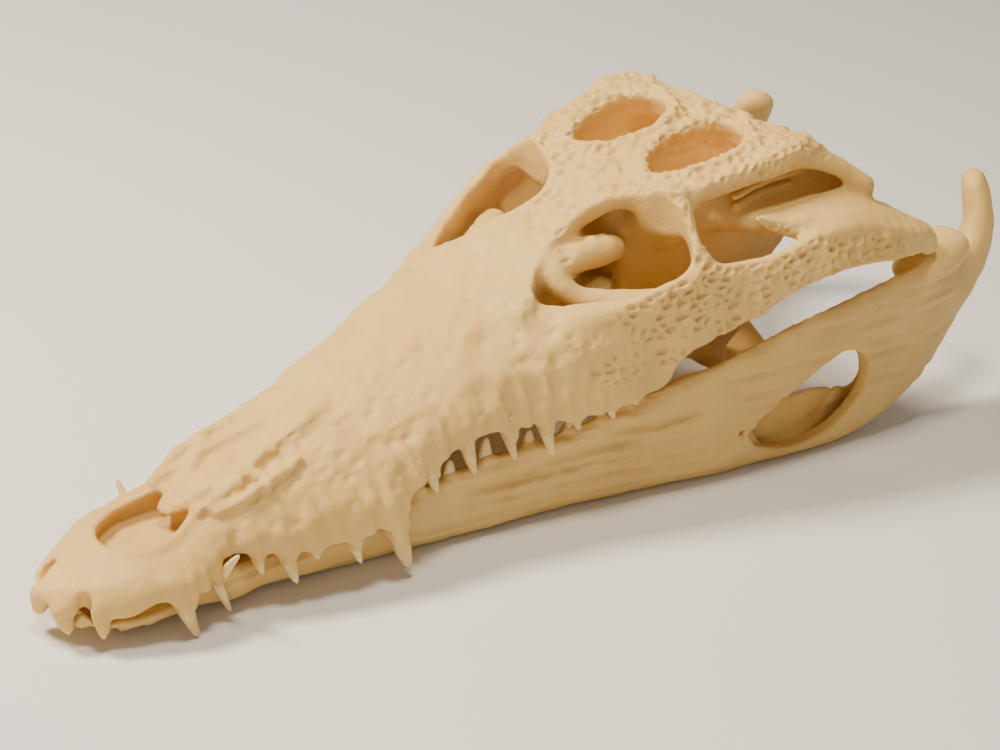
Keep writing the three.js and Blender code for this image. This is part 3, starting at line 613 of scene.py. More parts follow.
# what is cut away: the groove along the outer side, a slot inside the window, and a pore in front of it
JAW_GROOVE = [
    [46, 12.2, -4.6, 1.3, 0.9], [54, 13.9, -4.4, 1.5, 1.1], [63, 16.0, -4.2, 1.6, 1.1],
    [73, 18.8, -4.0, 1.2, 0.8],
]
JAW_SLOT = [[92, 17.6, -8.6, 1.4, 1.2], [100, 18.4, -10.6, 1.8, 2.6]]
JAW_PORE = [[78.8, 21.5, -9.3, 0.35, 0.35], [79.8, 17.5, -9.7, 0.4, 0.4]]
# the window, seen from the side: [x, z], and how far in and out it is cut
JAW_WINDOW = [
    [80.8, -10.1], [83.6, -8.1], [87.3, -6.2], [90.6, -5.0], [94.6, -4.7],
    [97.8, -7.0], [97.8, -11.8], [94, -14.8], [88, -15.2], [82.8, -13.0],
]
WINDOW_DEPTH = (17.6, 30)

snout_at, roof_at, jaw_at = Profile(SNOUT), Profile(ROOF), Profile(JAW)


def snout_height(x, y):
    """Height of the snout's arch over a place."""
    half, top, margin, power = np.moveaxis(snout_at(x), -1, 0)
    share = np.clip(np.abs(y) / half, 0, 0.999)
    return margin + 0.5 + (top - margin - 0.5) * (1 - share**power) ** (1 / power)


def snout_form():
    """Arched roof over a nearly flat palate."""
    front, back = SNOUT_SPAN

    def distance(x, y, z):
        half, top, margin, power = (v[..., 0] for v in np.split(snout_at(x), 4, -1))
        seat = margin + 0.5
        up = np.maximum(z - seat, 0) / np.maximum(top - seat, 0.2)
        out = np.abs(y) / half
        bulge = (out**power + up**power + 1e-9) ** (1 / power)
        steps = np.gradient(bulge, x[:, 0, 0], y[0, :, 0], z[0, 0, :])
        arch = (bulge - 1) / np.maximum(np.sqrt(sum(s * s for s in steps)), 0.04)
        floor = margin + PALATE_LIFT * np.minimum(1, half / 8) * (1 - np.minimum(out, 1) ** 2) - z
        return trim(trim(np.clip(arch, -6, 6), floor, 0.7), past(x, front, back) + 0 * arch, 2.0)

    return Form((0, 0, -2), (back, 17, 15), distance)


def roof_form():
    """Brow bridge and skull table, with rims a little above the middle."""
    front, back = ROOF_SPAN

    def distance(x, y, z):
        half, top, thick = (v[..., 0] for v in np.split(roof_at(x), 3, -1))
        crest = top - BROW_RISE * (1 - np.minimum(y / half, 1) ** 2)
        flat = trim(z - crest, top - thick - z, 0.8)
        side = (y - half) / np.sqrt(1 + np.gradient(half[:, 0, 0], x[:, 0, 0])[:, None, None] ** 2)
        return trim(trim(flat, side + 0 * z, 1.2), past(x, front, back) + 0 * flat, 1.2)

    return Form((front, 0, 8), (back, 14, 19), distance)


def wing_form():
    """Drooping wing at the back of the palate."""
    at = Profile(PTERYGOID)

    def distance(x, y, z):
        front, back, level, thick = (v[..., 0] for v in np.split(at(y), 4, -1))
        middle, half = (front + back) / 2, (back - front) / 2
        along = x - middle
        thin = 1 - 0.5 * np.minimum(np.abs(along) / half, 1) ** 3
        plate = (np.abs(z - level + along / 7) - thick / 2 * thin) * 0.8
        return trim(trim(plate, np.abs(along) - half + 0 * z, 1.0), y - WING_REACH + 0 * plate, 1.0)

    return Form((72, 0, -8), (93, WING_REACH, 6), distance)


def jaw_ring(values):
    """Corners of a section of the lower jaw."""
    outer, top, bottom, width, lean, trough = values
    share = np.array(JAW_BAR) * (1 - trough) + np.array(JAW_TROUGH) * trough
    y = outer - width + share[:, 0] * width + lean * (share[:, 1] - 0.5)
    return np.stack([np.maximum(y, 0.01), bottom + (top - bottom) * share[:, 1]], 1)


def tooth_places(upper):
    """Base, tip and radius of each tooth of one half."""
    if upper:
        for x, lean, length, radius in UPPER_TEETH:
            half, _, margin, _ = snout_at(x)
            y = half - UPPER_INSET - 0.25 * radius
            tip = np.array([x + lean, y + 0.2 * length, margin - length])
            yield np.array([x, y, margin + 0.2]), tip, radius
    else:
        for x, lean, length, radius, out in LOWER_TEETH:
            outer, top, _, _, tilt, _ = jaw_at(x)
            y = outer + tilt * 0.5 - LOWER_INSET + 0.5 * out
            height = top + length
            if not out:
                height = min(height, snout_at(x)[2] - BITE_GAP)
            yield np.array([x, y, top - 0.4]), np.array([x + lean, y + 1.3 * out, height]), radius


# ---------------------------------------------------------------- the upper skull
def upper_clay(step):
    """The whole upper skull."""
    clay = empty_clay((-1.5, 0, -9), (113, 26.5, 21), step)
    clay.add(snout_form(), 0.8)
    clay.add(roof_form(), 1.6)
    clay.add(blade(CHEEK), 1.6)
    clay.add(blade(BRAIN_CASE), 1.5)
    for rows, soft in (
        (EYE_POST, 1.0), (PALATE_STRUT, 1.6), (EAR_WING, 1.2), (SQUAMOSAL, 1.2), (QUADRATE, 1.0),
        (CONDYLE, 0.9),
    ):
        clay.add(tube(rows), soft)
    for rows in (QUADRATOJUGAL, EAR_WALL, CHAMBER_WALL):
        clay.add(blade(rows), 1.2)
    clay.add(tube(BUTTRESS), 3.0)
    clay.add(tube(TEMPLE_BACK), 1.2)
    clay.carve(tube(EAR_CAVE), 0.9)
    for rows in EAR_RIDGES:
        clay.add(tube(rows), 0.5)
    clay.add(tube(SPINE), 0.6)
    open_skull(clay)
    # raised rims and ridges
    clay.add(hem(NOSTRIL, lambda x, y: snout_height(x, y) - 0.15, 0.4), 0.9)
    clay.add(tube(NOSTRIL_SPINE), 0.5)
    for rows in NASAL_RIDGES:
        clay.add(tube(rows), 0.9)
    clay.add(hem(TEMPLE_RIM, lambda x, y: roof_at(x)[..., 1] - 0.5 + 0 * y, 0.75), 1.0)
    # what crosses the openings
    clay.add(wing_form(), 1.2)
    clay.add(blade(PALATE_SHEET), 1.2)
    for rows in (PILLAR, PILLAR_LOBE):
        clay.add(tube(rows), 1.0)
    clay.add(tube(PALATINE), 1.2)
    clay.add(tube(NECK_KNOB), 0.8)
    for base, tip, radius in tooth_places(True):
        length = np.linalg.norm(tip - base)
        reach = (tip - base) / length
        if base[0] > TIP_TEETH:
            sunk, grip, wide = 1.2, min(0.25 * length, 1.0), 1.3
        else:
            sunk, grip, wide = 0.1, 0.6 * length, 1.5
        inner, outer = base - reach * sunk - (0, 0.2, 0), base + reach * grip
        clay.add(socket(inner, outer, wide * radius, 1.04 * radius), 0.7)
    return clay


def open_skull(clay):
    """Cuts the openings of the skull and of its spinal canal."""
    clay.carve(shaft(ORBIT, 2, 30), 0.7)
    clay.carve(shaft(TEMPLE, 13.5, 30), 0.8)
    clay.carve(shaft(PALATE_HOLE, -10, 4.5), 0.6)
    clay.carve(shaft(NOSTRIL, NOSTRIL_FLOOR, 30), 1.2)
    clay.carve(tube(SPINAL_CANAL), 0.6)


def socket(inner, outer, wide, narrow):
    """Bone that swells round the root of a tooth."""
    return tube([[*inner, wide, wide], [*outer, narrow, narrow]], 2)


# ---------------------------------------------------------------- the lower jaw
def jaw_clay(step):
    """The right half of the lower jaw."""
    clay = empty_clay((0, -1.5, -24), (127.5, 26, 8), step)
    clay.add(loft(JAW, jaw_ring), 0.8)
    clay.add(tube(RETROARTICULAR), 1.6)
    for rows in RETRO_EDGES:
        clay.add(tube(rows), 1.3)
    clay.add(tube(JOINT_SEAT), 1.2)
    clay.add(tube(KNOB), 0.7)
    clay.carve(side_shaft(JAW_WINDOW, *WINDOW_DEPTH), 0.5)
    clay.carve(tube(JAW_GROOVE), 1.6)
    clay.carve(tube(JAW_SLOT), 0.8)
    clay.carve(tube(JAW_PORE), 0.3)
    for base, tip, radius in tooth_places(False):
        reach = (tip - base) / np.linalg.norm(tip - base)
        sunk = 1.0 if base[0] > TIP_TEETH else 0.2
        clay.add(socket(base - reach * sunk, base + reach * 0.5, 1.3 * radius, radius), 0.7)
    x, _, z = clay.axes
    floor = (ground_under(x)[:, None, None] - z[None, None, :]) * math.cos(JAW_SLOPE)
    clay.d = trim(clay.d, floor + 0 * clay.d, 0.35)
    return clay


# ---------------------------------------------------------------- meshes
def bone_of(points):
    """Which bone of the upper skull each place belongs to."""
    x, y, z = points[:, 0], np.abs(points[:, 1]), points[:, 2]
    behind = x > np.interp(y, *np.transpose(SNOUT_SEAM))
    far_out = 60
    loop = np.array([*CHEEK_LINE, [CHEEK_LINE[-1][0], far_out], [CHEEK_LINE[0][0], far_out]], float)
    cheek = (outline_distance(loop, x, y) < 0) & (z > CHEEK_BOTTOM) & (z < CHEEK_TOP)
    under = (z < PALATE_TOP) & (x < PALATE_BACK)
    side = np.where(points[:, 1] < 0, "cheek_left", "cheek_right")
    return np.where(behind, np.where(cheek, side, np.where(under, "palate", "braincase")), "snout")


def normals_of(points, faces):
    """Outward direction at each point."""
    a, b, c, d = (points[faces[:, i]] for i in range(4))
    flat = np.cross(c - a, d - b)
    total = np.zeros_like(points)
    for i in range(4):
        np.add.at(total, faces[:, i], flat)
    return total / np.maximum(np.linalg.norm(total, axis=1, keepdims=True), 1e-9)


def relax(points, faces):
    """Evens out the steps of the grid, by moves in and back out, so that the shape doesn't shrink."""
    a = faces.ravel()
    b = np.roll(faces, -1, 1).ravel()
    size = len(points)
    count = np.bincount(a, minlength=size) + np.bincount(b, minlength=size)
    for share in (0.5, -0.51, 0.5, -0.51):
        around = [np.bincount(a, points[b, i], size) + np.bincount(b, points[a, i], size) for i in range(3)]
        points = points + (np.stack(around, 1) / count[:, None] - points) * share
    return points


def comb(p, size, seed):
    """Depth from 0 to 1 of a honeycomb of pits, with thin walls between them."""
    near, next_one = pits(p / size, seed)
    return ease(next_one - near, 0.05, 0.5) * (0.65 + 0.35 * waves(p / (np.array(size) * 2.5), seed + 1))


def holes(p, size, seed):
    """Depth from 0 to 1 of scattered holes."""
    near, _ = pits(p / size, seed)
    return (1 - ease(near, 0.08, 0.6)) * ease(waves(p / (np.array(size) * 2), seed + 1), -0.5, 0.3)


def upper_relief(p, n):
    """How deep the bone of the upper skull is worn at each point, and how strong its pits are."""
    x, y, z = p[:, 0], np.abs(p[:, 1]), p[:, 2]
    out, up = n[:, 1] * np.sign(p[:, 1]), n[:, 2]
    # where each kind of wear lies
    cheek = ease(out, 0.3, 0.7) * ease(y, 12.0, 14.5) * ease(x, 53, 68) * ease(107 - x, 0, 6)
    cheek_edge = np.interp(x, [60, 66, 84, 93, 100, 108], [9.5, 14, 14, 10.5, 8.4, 4.4])
    cheek = cheek * ease(z, 1.6, 4) * ease(z - cheek_edge, 0.6, -0.6)
    table = ease(up, 0.25, 0.7) * ease(z, 15.6, 16.8) * ease(x, 72, 77)
    edge = ease(out, 0.3, 0.8) * ease(z, 15.4, 16.2) * ease(x, 77, 82)
    brow = ease(up, 0.4, 0.8) * ease(x, 56, 66) * ease(80 - x, 0, 6) * ease(z, 11, 14)
    snout = ease(66 - x, 0, 10) * ease(x, 14, 20) * ease(np.maximum(up, out), 0.2, 0.6)
    flank = snout * ease(1.0 - up, 0.1, 0.5)
    hem_rib = ease(x, 8.5, 11) * ease(17.5 - x, 0, 3) * ease(out, 0.2, 0.6) * ease(4.0 - z, 0, 1.8)
    # pits
    deep = 0.64 * cheek * comb(p, (1.45, 1.05, 1.05), 11) + 0.62 * table * comb(p, (1.6, 1.2, 1.2), 23)
    deep = deep + 0.45 * edge * comb(p, (1.2, 1.0, 1.6), 27)
    deep = deep + 0.5 * brow * holes(p, (2.2, 1.0, 1.3), 31) + 0.2 * snout * holes(p, (1.9, 1.2, 1.5), 33)
    pit = np.clip(2.4 * deep, 0, 1)
    # furrows and folds
    deep = deep - 0.5 * table * np.maximum(waves(p / 1.5, 37), 0) - 0.3 * cheek * waves(p / 2.2, 39)
    deep = deep - 0.3 * snout * waves(p / (3.2, 1.8, 2.0), 41) - 0.42 * flank * waves(p / (0.9, 4.0, 2.6), 43)
    deep = deep - 0.4 * hem_rib * np.maximum(waves(p / (0.8, 3.0, 3.0), 45), -0.2) - 0.06 * waves(p / 1.2, 47)
    return deep, pit


def jaw_relief(p, n):
    """The same for the lower jaw, whose furrows run along it."""
    x, z = p[:, 0], p[:, 2]
    outer = ease(n[:, 1] * np.sign(p[:, 1]), 0.1, 0.6)
    front, rear = outer * ease(80 - x, 0, 14), outer * ease(x, 66, 80) * ease(118 - x, 0, 8)
    line = p * (math.cos(JAW_SLOPE), 1, 1) + np.stack([0 * x, 0 * x, 0.16 * x], 1)
    deep = 0.2 * front * holes(line, (5.5, 1.2, 0.9), 61)
    deep = deep + 0.16 * rear * holes(line, (3.4, 1.2, 1.2), 62) * ease(-5 - z, 0, 4)
    pit = np.clip(2.4 * deep, 0, 1)
    deep = deep - 0.3 * front * waves(line / (8.0, 2.4, 0.85), 63)
    deep = deep - 0.24 * rear * waves(line / (9.0, 2.4, 0.9), 65)
    deep = deep - 0.06 * waves(p / 1.3, 67) - 0.1 * outer * waves(p / (6, 4, 4), 69)
    return deep, pit


def linked(name, data):
    """Object for a mesh, lamp or camera, in the scene."""
    obj = bpy.data.objects.new(name, data)
    bpy.context.scene.collection.objects.link(obj)
    return obj


def mesh_of(name, points, faces, percent):
    """Mesh of points in the skull's own frame."""
    mesh = bpy.data.meshes.new(name)
    mesh.from_pydata(to_row(points, percent).tolist(), [], faces)
    return mesh


# painted shade: bone found within these reaches of a point darkens its colour, as if shaded
SHADE_REACHES = (0.6, 1.4, 2.6)  # how far out of the bone a point looks for more bone, percent


def worn_shape(clay, wear, strength):
    """Points, faces, directions and how much painted shade each point gets from lying in hollows and pits, of
    a clay with its worn surface.
    """
    points, faces = clay.surface()
    points = relax(points, faces)
    n = normals_of(points, faces)
    depth, pit = wear(points, n)
    # painted shade: a point darkens where more bone lies just outside it, where shade would fall
    shade = sum(np.clip(1 - clay.sample(points + n * reach) / reach, 0, 1) for reach in SHADE_REACHES)
    points = points - n * (depth * strength)[:, None]
    points[:, 2] = np.maximum(points[:, 2], ground_under(points[:, 0]) + 0.02)
    # painted shade: the share by which the bone's colour darkens in hollows and in pits
    painted_shade_and_streaks = np.clip(0.6 * shade / len(SHADE_REACHES) + 0.45 * pit, 0, 1)
    return points, faces, normals_of(points, faces), painted_shade_and_streaks


def bone_object(name, shape, percent):
    """Smooth object from a shape."""
    points, faces, n, painted_shade_and_streaks = shape
    if not len(faces):
        raise RuntimeError(f"{name} has no faces")
    mesh = mesh_of(name, points, faces.tolist(), percent)
    # the painted shade share is handed to the bone's material as a mesh attribute
    mesh.attributes.new("painted_shade_and_streaks", "FLOAT", "POINT").data.foreach_set("value", painted_shade_and_streaks.astype(np.float32))
    mesh.shade_smooth()
    mesh.normals_split_custom_set_from_vertices(turned(n).tolist())
    return linked(name, mesh)


def share_of(shape, chosen):
    """Some faces of a shape, with the points that they use."""
    points, faces, n, painted_shade_and_streaks = shape
    used, faces = np.unique(faces[chosen], return_inverse=True)
    return points[used], faces.reshape(-1, 4), n[used], painted_shade_and_streaks[used]


@functools.lru_cache(1)
def upper_shape(step, strength):
    """Shape of the upper skull, and the bone that each face belongs to."""
    clay = upper_clay(step).mirrored()
    clay.carve(tube(LEFT_NOTCH, 2), 0.4)
    clay.carve(tube(RIGHT_SLIT), 0.3)
    shape = worn_shape(clay, upper_relief, strength)
    points, faces = shape[:2]
    return shape, bone_of(points[faces].mean(1))


def tooth_mesh(base, tip, radius, side, seed):
    """Curved pointed tooth with a slight edge fore and aft."""
    rng = np.random.default_rng(seed)
    around, up = 16, 12
    reach = tip - base
    length = np.linalg.norm(reach)
    reach = reach / length
    along = np.array([1.0, 0, 0]) - reach * reach[0]
    along /= np.linalg.norm(along)
    across = np.cross(reach, along)
    bend = 0.1 * length
    root = 1.0 if base[0] > TIP_TEETH else 0.4
    rows = []
    for k in range(up + 1):
        t = k / up
        lift = -root + (length + root) * t
        s = max(lift, 0) / length
        size = radius * (1 - 0.12 * s - 0.6 * s**1.6) * (1.0 if k < up else 0.3)
        size *= 1 + 0.02 * rng.standard_normal()
        centre = base + reach * lift + across * bend * (s - s * s) * (-1 if across[1] > 0 else 1)
        for i in range(around):
            a = 2 * math.pi * i / around
            long = 1.05 * (1 + 0.06 * abs(math.cos(a)) ** 8) * math.cos(a)
            rows.append(centre + (along * long + across * 0.95 * math.sin(a)) * size)
    rows.append(tip - reach * 0.02)
    points = np.array(rows) * (1, side, 1)
    faces = []
    for k in range(up):
        for i in range(around):
            a, b = k * around + i, k * around + (i + 1) % around
            faces.append((a, b, b + around, a + around))
    last = up * around
    faces += [(last + i, last + (i + 1) % around, last + around) for i in range(around)]
    faces.append(tuple(reversed(range(around))))
    if side < 0:
        faces = [tuple(reversed(f)) for f in faces]
    return points, faces


def teeth_object(name, upper, side, percent):
    """All the teeth of one row, as one object."""
    points, faces, start = [], [], 0
    for i, (base, tip, radius) in enumerate(tooth_places(upper)):
        p, f = tooth_mesh(base, tip, radius, side, 100 * upper + i + (side > 0) * 50)
        points.append(p)
        faces += [tuple(v + start for v in face) for face in f]
        start += len(p)
    mesh = mesh_of(name, np.concatenate(points), faces, percent)
    mesh.validate()
    mesh.shade_smooth()
    return linked(name, mesh)


# ---------------------------------------------------------------- shaders
class Value:
    """A shader value that plain sums can be written with."""

    def __init__(self, shader, socket):
        self.shader, self.socket = shader, socket

    def maths(self, operation, a, b, clamp=False):
        return self.shader.node("ShaderNodeMath", {"operation": operation, "use_clamp": clamp}, {0: a, 1: b})

    def __add__(self, other):
        return self.maths("ADD", self, other)

    def __sub__(self, other):
        return self.maths("SUBTRACT", self, other)

    def __rsub__(self, other):
        return self.maths("SUBTRACT", other, self)

    def __mul__(self, other):
        return self.maths("MULTIPLY", self, other)

    __radd__, __rmul__ = __add__, __mul__

    def between(self, low, high):
        """0 at low, 1 at high, held at both ends."""
        return self.maths("MULTIPLY", self - low, 1 / (high - low), clamp=True)


class Shader:
    """A material's nodes, written one call at a time."""

    def __init__(self, name):
        self.material = bpy.data.materials.new(name)
        self.material.use_nodes = True
        self.tree = self.material.node_tree
        self.surface = self.tree.nodes["Principled BSDF"]

    def node(self, kind, settings, inputs, out=0):
        """One output of a new node, with its settings made before its sockets are filled."""
        made = self.tree.nodes.new(kind)
        for key, value in settings.items():
            setattr(made, key, value)
        for key, value in inputs.items():
            self.put(made.inputs[key], value)
        return Value(self, made.outputs[out])

    def put(self, socket, value):
        if isinstance(value, Value):
            self.tree.links.new(value.socket, socket)
        else:
            socket.default_value = value

    def set(self, values):
        """Fills sockets of the surface."""
        for key, value in values.items():
            self.put(self.surface.inputs[key], value)

    def mix(self, share, a, b):
        """Colour a turning into colour b; either may be a plain colour."""
        colours = {6 + i: c if isinstance(c, Value) else (*c, 1) for i, c in enumerate((a, b))}
        return self.node("ShaderNodeMix", {"data_type": "RGBA"}, {0: share, **colours}, out=2)

    def place(self, stretch=(1, 1, 1)):
        """Place on the object, stretched."""
        at = self.node("ShaderNodeTexCoord", {}, {}, out="Object")
        return self.node("ShaderNodeVectorMath", {"operation": "MULTIPLY"}, {0: at, 1: stretch})

    def noise(self, at, scale, detail=4.0, roughness=0.55):
        inputs = {"Vector": at, "Scale": scale, "Detail": detail, "Roughness": roughness}
        return self.node("ShaderNodeTexNoise", {}, inputs)

    def bump(self, height, strength, distance):
        inputs = {"Height": height, "Strength": strength, "Distance": distance}
        return self.node("ShaderNodeBump", {}, inputs)


def bone_shader(shader, colours):
    """Waxy old bone with clouds, fine grain, and painted shade that darkens its hollows and pits."""
    at = shader.place()
    # painted shade: how far each point lies in a hollow or pit, worked out on the mesh
    painted_shade_and_streaks = shader.node("ShaderNodeAttribute", {"attribute_name": "painted_shade_and_streaks"}, {}, out="Fac")
    cloud = shader.noise(at, 22.0, 3.0)
    fine = shader.noise(at, 420.0, 5.0, 0.62)
    grain = shader.noise(shader.place((1.0, 3.2, 3.2)), 190.0, 4.0, 0.6)
    specks = shader.node("ShaderNodeTexVoronoi", {"feature": "F1"}, {"Vector": at, "Scale": 620.0})
    tone = shader.mix(cloud.between(0.35, 0.68), colours.bone_light, colours.bone_warm)
    tone = shader.mix(grain.between(0.52, 0.78) * 0.25, tone, colours.bone_warm)
    # painted shade: the tone darkens towards the shade colour in hollows and pits
    tone = shader.mix(painted_shade_and_streaks.between(0.15, 0.95) * 0.28, tone, colours.painted_shade_and_streaks)
    height = 0.5 * fine + 0.7 * grain + 0.35 * specks.between(0.0, 0.45)
    shader.set({
        "Base Color": tone,
        "Roughness": 0.46 + 0.16 * fine + 0.08 * painted_shade_and_streaks,
        "Normal": shader.bump(height, 0.28, 0.0006),
        "Subsurface Weight": 0.18,
        "Subsurface Radius": (1.0, 0.55, 0.25),
        "Subsurface Scale": 0.0025,
        "Specular IOR Level": 0.42,
    })


def tooth_shader(shader, colours):
    """Smoother enamel with faint streaks along the tooth."""
    cloud = shader.noise(shader.place(), 160.0, 3.0)
    streak = shader.noise(shader.place((6.0, 6.0, 1.0)), 260.0, 3.0)
    tone = shader.mix(cloud.between(0.4, 0.7), colours.tooth, colours.bone_warm)
    tone = shader.mix(streak.between(0.6, 0.8) * 0.35, tone, colours.painted_shade_and_streaks)
    shader.set({
        "Base Color": tone,
        "Roughness": 0.3 + 0.16 * streak,
        "Normal": shader.bump(streak, 0.2, 0.0003),
        "Subsurface Weight": 0.2,
        "Subsurface Radius": (1.0, 0.6, 0.3),
        "Subsurface Scale": 0.002,
    })


def floor_shader(shader, colours):
    """Plain pale floor, a little uneven in tone."""
    at = shader.place()
    cloud = shader.noise(at, 3.0, 3.0)
    shader.set({
        "Base Color": shader.mix(cloud * 0.5, colours.floor, [c * 0.94 for c in colours.floor]),
        "Roughness": 0.7 + 0.1 * cloud,
        "Normal": shader.bump(shader.noise(at, 900.0), 0.05, 0.0005),
    })


FINISHES = {"old_bone": bone_shader, "tooth_enamel": tooth_shader, "pale_floor": floor_shader}


def material(name):
    """The material of a name, made when it is first asked for."""
    if name not in bpy.data.materials:
        FINISHES[name](Shader(name), bpy.context.scene.skull_colours)
    return bpy.data.materials[name]


class SkullSizes(bpy.types.PropertyGroup):
    """Sizes of the skull"""

    skull_length: bpy.props.FloatProperty(
        name="Skull length", description="Tip of the snout to the back of the skull table", default=0.24,
        min=0.15, max=0.6, subtype="DISTANCE", unit="LENGTH",
    )
    detail: bpy.props.FloatProperty(
        name="Cell size", description="Size of a cell of the modelled bone, in percent of the skull's length",
        default=0.27, min=0.2, max=1.0, subtype="PERCENTAGE",
    )
    jaw_gap: bpy.props.FloatProperty(
        name="Jaw gap", description="Gap between the lower jaw's halves, in percent of the skull's length",
        default=0.07, min=0.02, max=0.3, subtype="PERCENTAGE",
    )
    relief: bpy.props.FloatProperty(
        name="Relief", description="Depth of the pits and furrows of the bone", default=1.0, min=0.0, max=2.0,
        subtype="FACTOR",
    )

    def percent(self):
        """Length of one percent of the skull's length, mm."""
        return self.skull_length * 10

    def step(self):
        """Size of a cell, percent."""
        return self.detail


class SkullColours(bpy.types.PropertyGroup):
    """Colours of the skull and its stage"""

    bone_light: bpy.props.FloatVectorProperty(
        name="Pale bone", description="Colour of clean bone", default=(0.78, 0.52, 0.17), min=0, max=1,
        subtype="COLOR",
    )
    bone_warm: bpy.props.FloatVectorProperty(
        name="Warm bone", description="Colour of stained bone", default=(0.66, 0.41, 0.12), min=0, max=1,
        subtype="COLOR",
    )
    # painted shade colour for the bone's hollows and pits; the teeth use the same colour for their streaks
    painted_shade_and_streaks: bpy.props.FloatVectorProperty(
        name="Hollows", description="Colour in pits and hollows", default=(0.34, 0.19, 0.06), min=0, max=1,
        subtype="COLOR",
    )
    tooth: bpy.props.FloatVectorProperty(
        name="Teeth", description="Colour of the teeth", default=(0.85, 0.66, 0.30), min=0, max=1,
        subtype="COLOR",
    )
    floor: bpy.props.FloatVectorProperty(
        name="Floor", description="Colour of the floor", default=(0.8, 0.78, 0.74), min=0, max=1,
        subtype="COLOR",
    )


def settle(obj, finish, nodes=()):
    """Gives a bone or a row of teeth its material and its place on the frame."""
    obj.data.materials.append(material(finish))
    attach(obj, "root")
    if nodes:
        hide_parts(*nodes)


def add_upper_bones(context, *nodes):
    """The bones of the upper skull that stand for some nodes of the frame."""
    sizes = context.scene.skull_sizes
    shape, bones = upper_shape(sizes.step(), sizes.relief)
    for node in nodes:
        piece = bone_object(node + "_bone", share_of(shape, bones == node), sizes.percent())
        settle(piece, "old_bone", [node])


class SkullPiece:
    """What the operators have in common."""

    bl_options = {"REGISTER", "UNDO"}


class SKULL_OT_snout(SkullPiece, bpy.types.Operator):
    """Builds the snout with its nostril and tooth sockets"""

    bl_idname = "skull.snout"
    bl_label = "Snout"

    def execute(self, context):
        add_upper_bones(context, "snout")
        return {"FINISHED"}


class SKULL_OT_braincase(SkullPiece, bpy.types.Operator):
    """Builds the brow, skull table, braincase and jaw joints"""

    bl_idname = "skull.braincase"
    bl_label = "Braincase"

    def execute(self, context):
        add_upper_bones(context, "braincase")
        return {"FINISHED"}


class SKULL_OT_palate(SkullPiece, bpy.types.Operator):
    """Builds the back of the palate with its wings"""

    bl_idname = "skull.palate"
    bl_label = "Palate"

    def execute(self, context):
        add_upper_bones(context, "palate")
        return {"FINISHED"}


class SKULL_OT_cheeks(SkullPiece, bpy.types.Operator):
    """Builds both cheeks, from the eye's front corner to the jaw joint"""

    bl_idname = "skull.cheeks"
    bl_label = "Cheeks"

    def execute(self, context):
        add_upper_bones(context, "cheek_left", "cheek_right")
        return {"FINISHED"}


class SKULL_OT_jaws(SkullPiece, bpy.types.Operator):
    """Builds the two halves of the lower jaw"""

    bl_idname = "skull.jaws"
    bl_label = "Lower jaw"

    def execute(self, context):
        sizes = context.scene.skull_sizes
        clay = jaw_clay(sizes.step())
        half = clay.part((sizes.jaw_gap / 2 - clay.axes[1])[None, :, None])
        points, faces, n, painted_shade_and_streaks = worn_shape(half, jaw_relief, sizes.relief)
        flip = (1, -1, 1)
        right = (points, faces, n, painted_shade_and_streaks)
        left = (points * flip, faces[:, ::-1], n * flip, painted_shade_and_streaks)
        for node, shape in (("jaw_right", right), ("jaw_left", left)):
            settle(bone_object(node + "_bone", shape, sizes.percent()), "old_bone", [node])
        return {"FINISHED"}


class SKULL_OT_teeth(SkullPiece, bpy.types.Operator):
    """Builds the four rows of teeth"""

    bl_idname = "skull.teeth"
    bl_label = "Teeth"

    def execute(self, context):
        percent = context.scene.skull_sizes.percent()
        for upper in (True, False):
            for side, word in ((-1, "left"), (1, "right")):
                name = f"teeth_{'upper' if upper else 'lower'}_{word}"
                settle(teeth_object(name, upper, side, percent), "tooth_enamel")
        return {"FINISHED"}


# ---------------------------------------------------------------- stage and camera
CAMERA_AT = (-90.6, -155.2, 134.3)  # in the skull's own frame, percent
CAMERA_TURN, CAMERA_FALL, CAMERA_ROLL = -44.3, 32.0, -2.0  # degrees
SENSOR = 36.0  # sensor's width, mm
FOCAL = 2.355  # focal length over the sensor's width
FLOOR_REACH = 6.0  # from the middle of the floor to each side, m
FLOOR_DROP = 0.0002  # keeps the floor clear of the jaw's underside, m
LIGHT_AIM = (0.0, 0.0, 0.04)
# name, place, width, power and colour
LIGHTS = (
    ("key_light", (-0.4, 0.4, 0.8), 0.25, 15.0, (1.0, 0.89, 0.72)),
    ("rake_light", (-0.25, -0.12, 1.1), 0.22, 8.0, (1.0, 0.92, 0.78)),
    ("fill_light", (-0.9, -0.9, 0.6), 1.2, 2.6, (1.0, 0.93, 0.82)),
)
STUDIO_COLOUR, STUDIO_LIGHT = (1.0, 0.95, 0.88, 1), 0.22


def camera_axes():
    """Right, up and forward of the camera in the skull's own frame."""
    a, e, r = (math.radians(v) for v in (CAMERA_TURN, CAMERA_FALL, CAMERA_ROLL))
    ahead = Vector((-math.sin(a) * math.cos(e), math.cos(a) * math.cos(e), -math.sin(e)))
    right = ahead.cross(Vector((0, 0, 1))).normalized()
    up = right.cross(ahead)
    return right * math.cos(r) + up * math.sin(r), up * math.cos(r) - right * math.sin(r), ahead


def add_camera(scene):
    """Camera with the wanted view of the skull."""
    data = bpy.data.cameras.new("camera")
    data.sensor_width, data.lens = SENSOR, SENSOR * FOCAL
    data.clip_start, data.clip_end = 0.01, 20
    right, up, ahead = turned(camera_axes())
    camera = linked("camera", data)
    turn = Matrix((right, up, -ahead)).transposed().to_4x4()
    camera.matrix_world = Matrix.Translation(to_row([CAMERA_AT], scene.skull_sizes.percent())[0]) @ turn
    scene.camera = camera


def add_floor():
    """Plain floor under the skull."""
    r = FLOOR_REACH
    mesh = bpy.data.meshes.new("floor")
    mesh.from_pydata([(-r, -r, 0), (r, -r, 0), (r, r, 0), (-r, r, 0)], [], [(0, 1, 2, 3)])
    mesh.materials.append(material("pale_floor"))
    floor = linked("floor", mesh)
    floor.location.z = -FLOOR_DROP


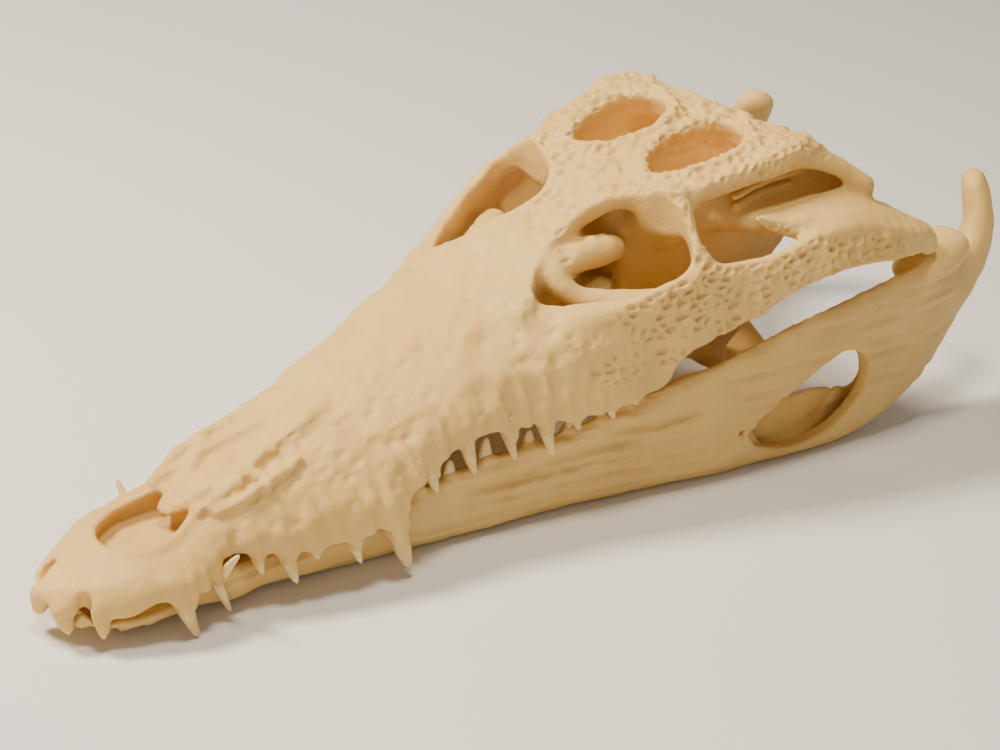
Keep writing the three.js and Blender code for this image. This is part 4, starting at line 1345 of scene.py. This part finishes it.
def add_lights(scene):
    """Soft lamps and a dim, even studio light."""
    for name, place, width, power, colour in LIGHTS:
        lamp = bpy.data.lights.new(name, "AREA")
        lamp.shape, lamp.size, lamp.energy, lamp.color = "DISK", width, power, colour
        light = linked(name, lamp)
        light.location = place
        light.rotation_euler = (Vector(LIGHT_AIM) - Vector(place)).to_track_quat("-Z", "Y").to_euler()
    world = bpy.data.worlds.new("studio")
    world.use_nodes = True
    background = world.node_tree.nodes["Background"]
    background.inputs["Color"].default_value = STUDIO_COLOUR
    background.inputs["Strength"].default_value = STUDIO_LIGHT
    scene.world = world


class SKULL_OT_stage(SkullPiece, bpy.types.Operator):
    """Builds the floor, lights and camera"""

    bl_idname = "skull.stage"
    bl_label = "Stage"

    def execute(self, context):
        add_camera(context.scene)
        add_floor()
        add_lights(context.scene)
        return {"FINISHED"}


class SKULL_PT_panel(bpy.types.Panel):
    """Lists the pieces of the skull"""

    bl_idname = "SKULL_PT_panel"
    bl_label = "Crocodile skull"
    bl_space_type = "VIEW_3D"
    bl_region_type = "UI"
    bl_category = "Skull"

    def draw(self, context):
        for group in (context.scene.skull_sizes, context.scene.skull_colours):
            for name in group.bl_rna.properties.keys():
                if name not in ("rna_type", "name"):
                    self.layout.prop(group, name)
        for operator in OPERATORS:
            self.layout.operator(operator.bl_idname)


OPERATORS = (
    SKULL_OT_snout, SKULL_OT_braincase, SKULL_OT_palate, SKULL_OT_cheeks, SKULL_OT_jaws, SKULL_OT_teeth,
    SKULL_OT_stage,
)
CLASSES = (SkullSizes, SkullColours, *OPERATORS, SKULL_PT_panel)


def register():
    for one in CLASSES:
        bpy.utils.register_class(one)
    bpy.types.Scene.skull_sizes = bpy.props.PointerProperty(type=SkullSizes)
    bpy.types.Scene.skull_colours = bpy.props.PointerProperty(type=SkullColours)


def unregister():
    del bpy.types.Scene.skull_sizes, bpy.types.Scene.skull_colours
    for one in reversed(CLASSES):
        bpy.utils.unregister_class(one)


def main():
    """Registers the classes and builds the skull and its stage."""
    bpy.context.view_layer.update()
    register()
    for operator in OPERATORS:
        group, name = operator.bl_idname.split(".")
        getattr(getattr(bpy.ops, group), name)()


if __name__ == "__main__":
    main()
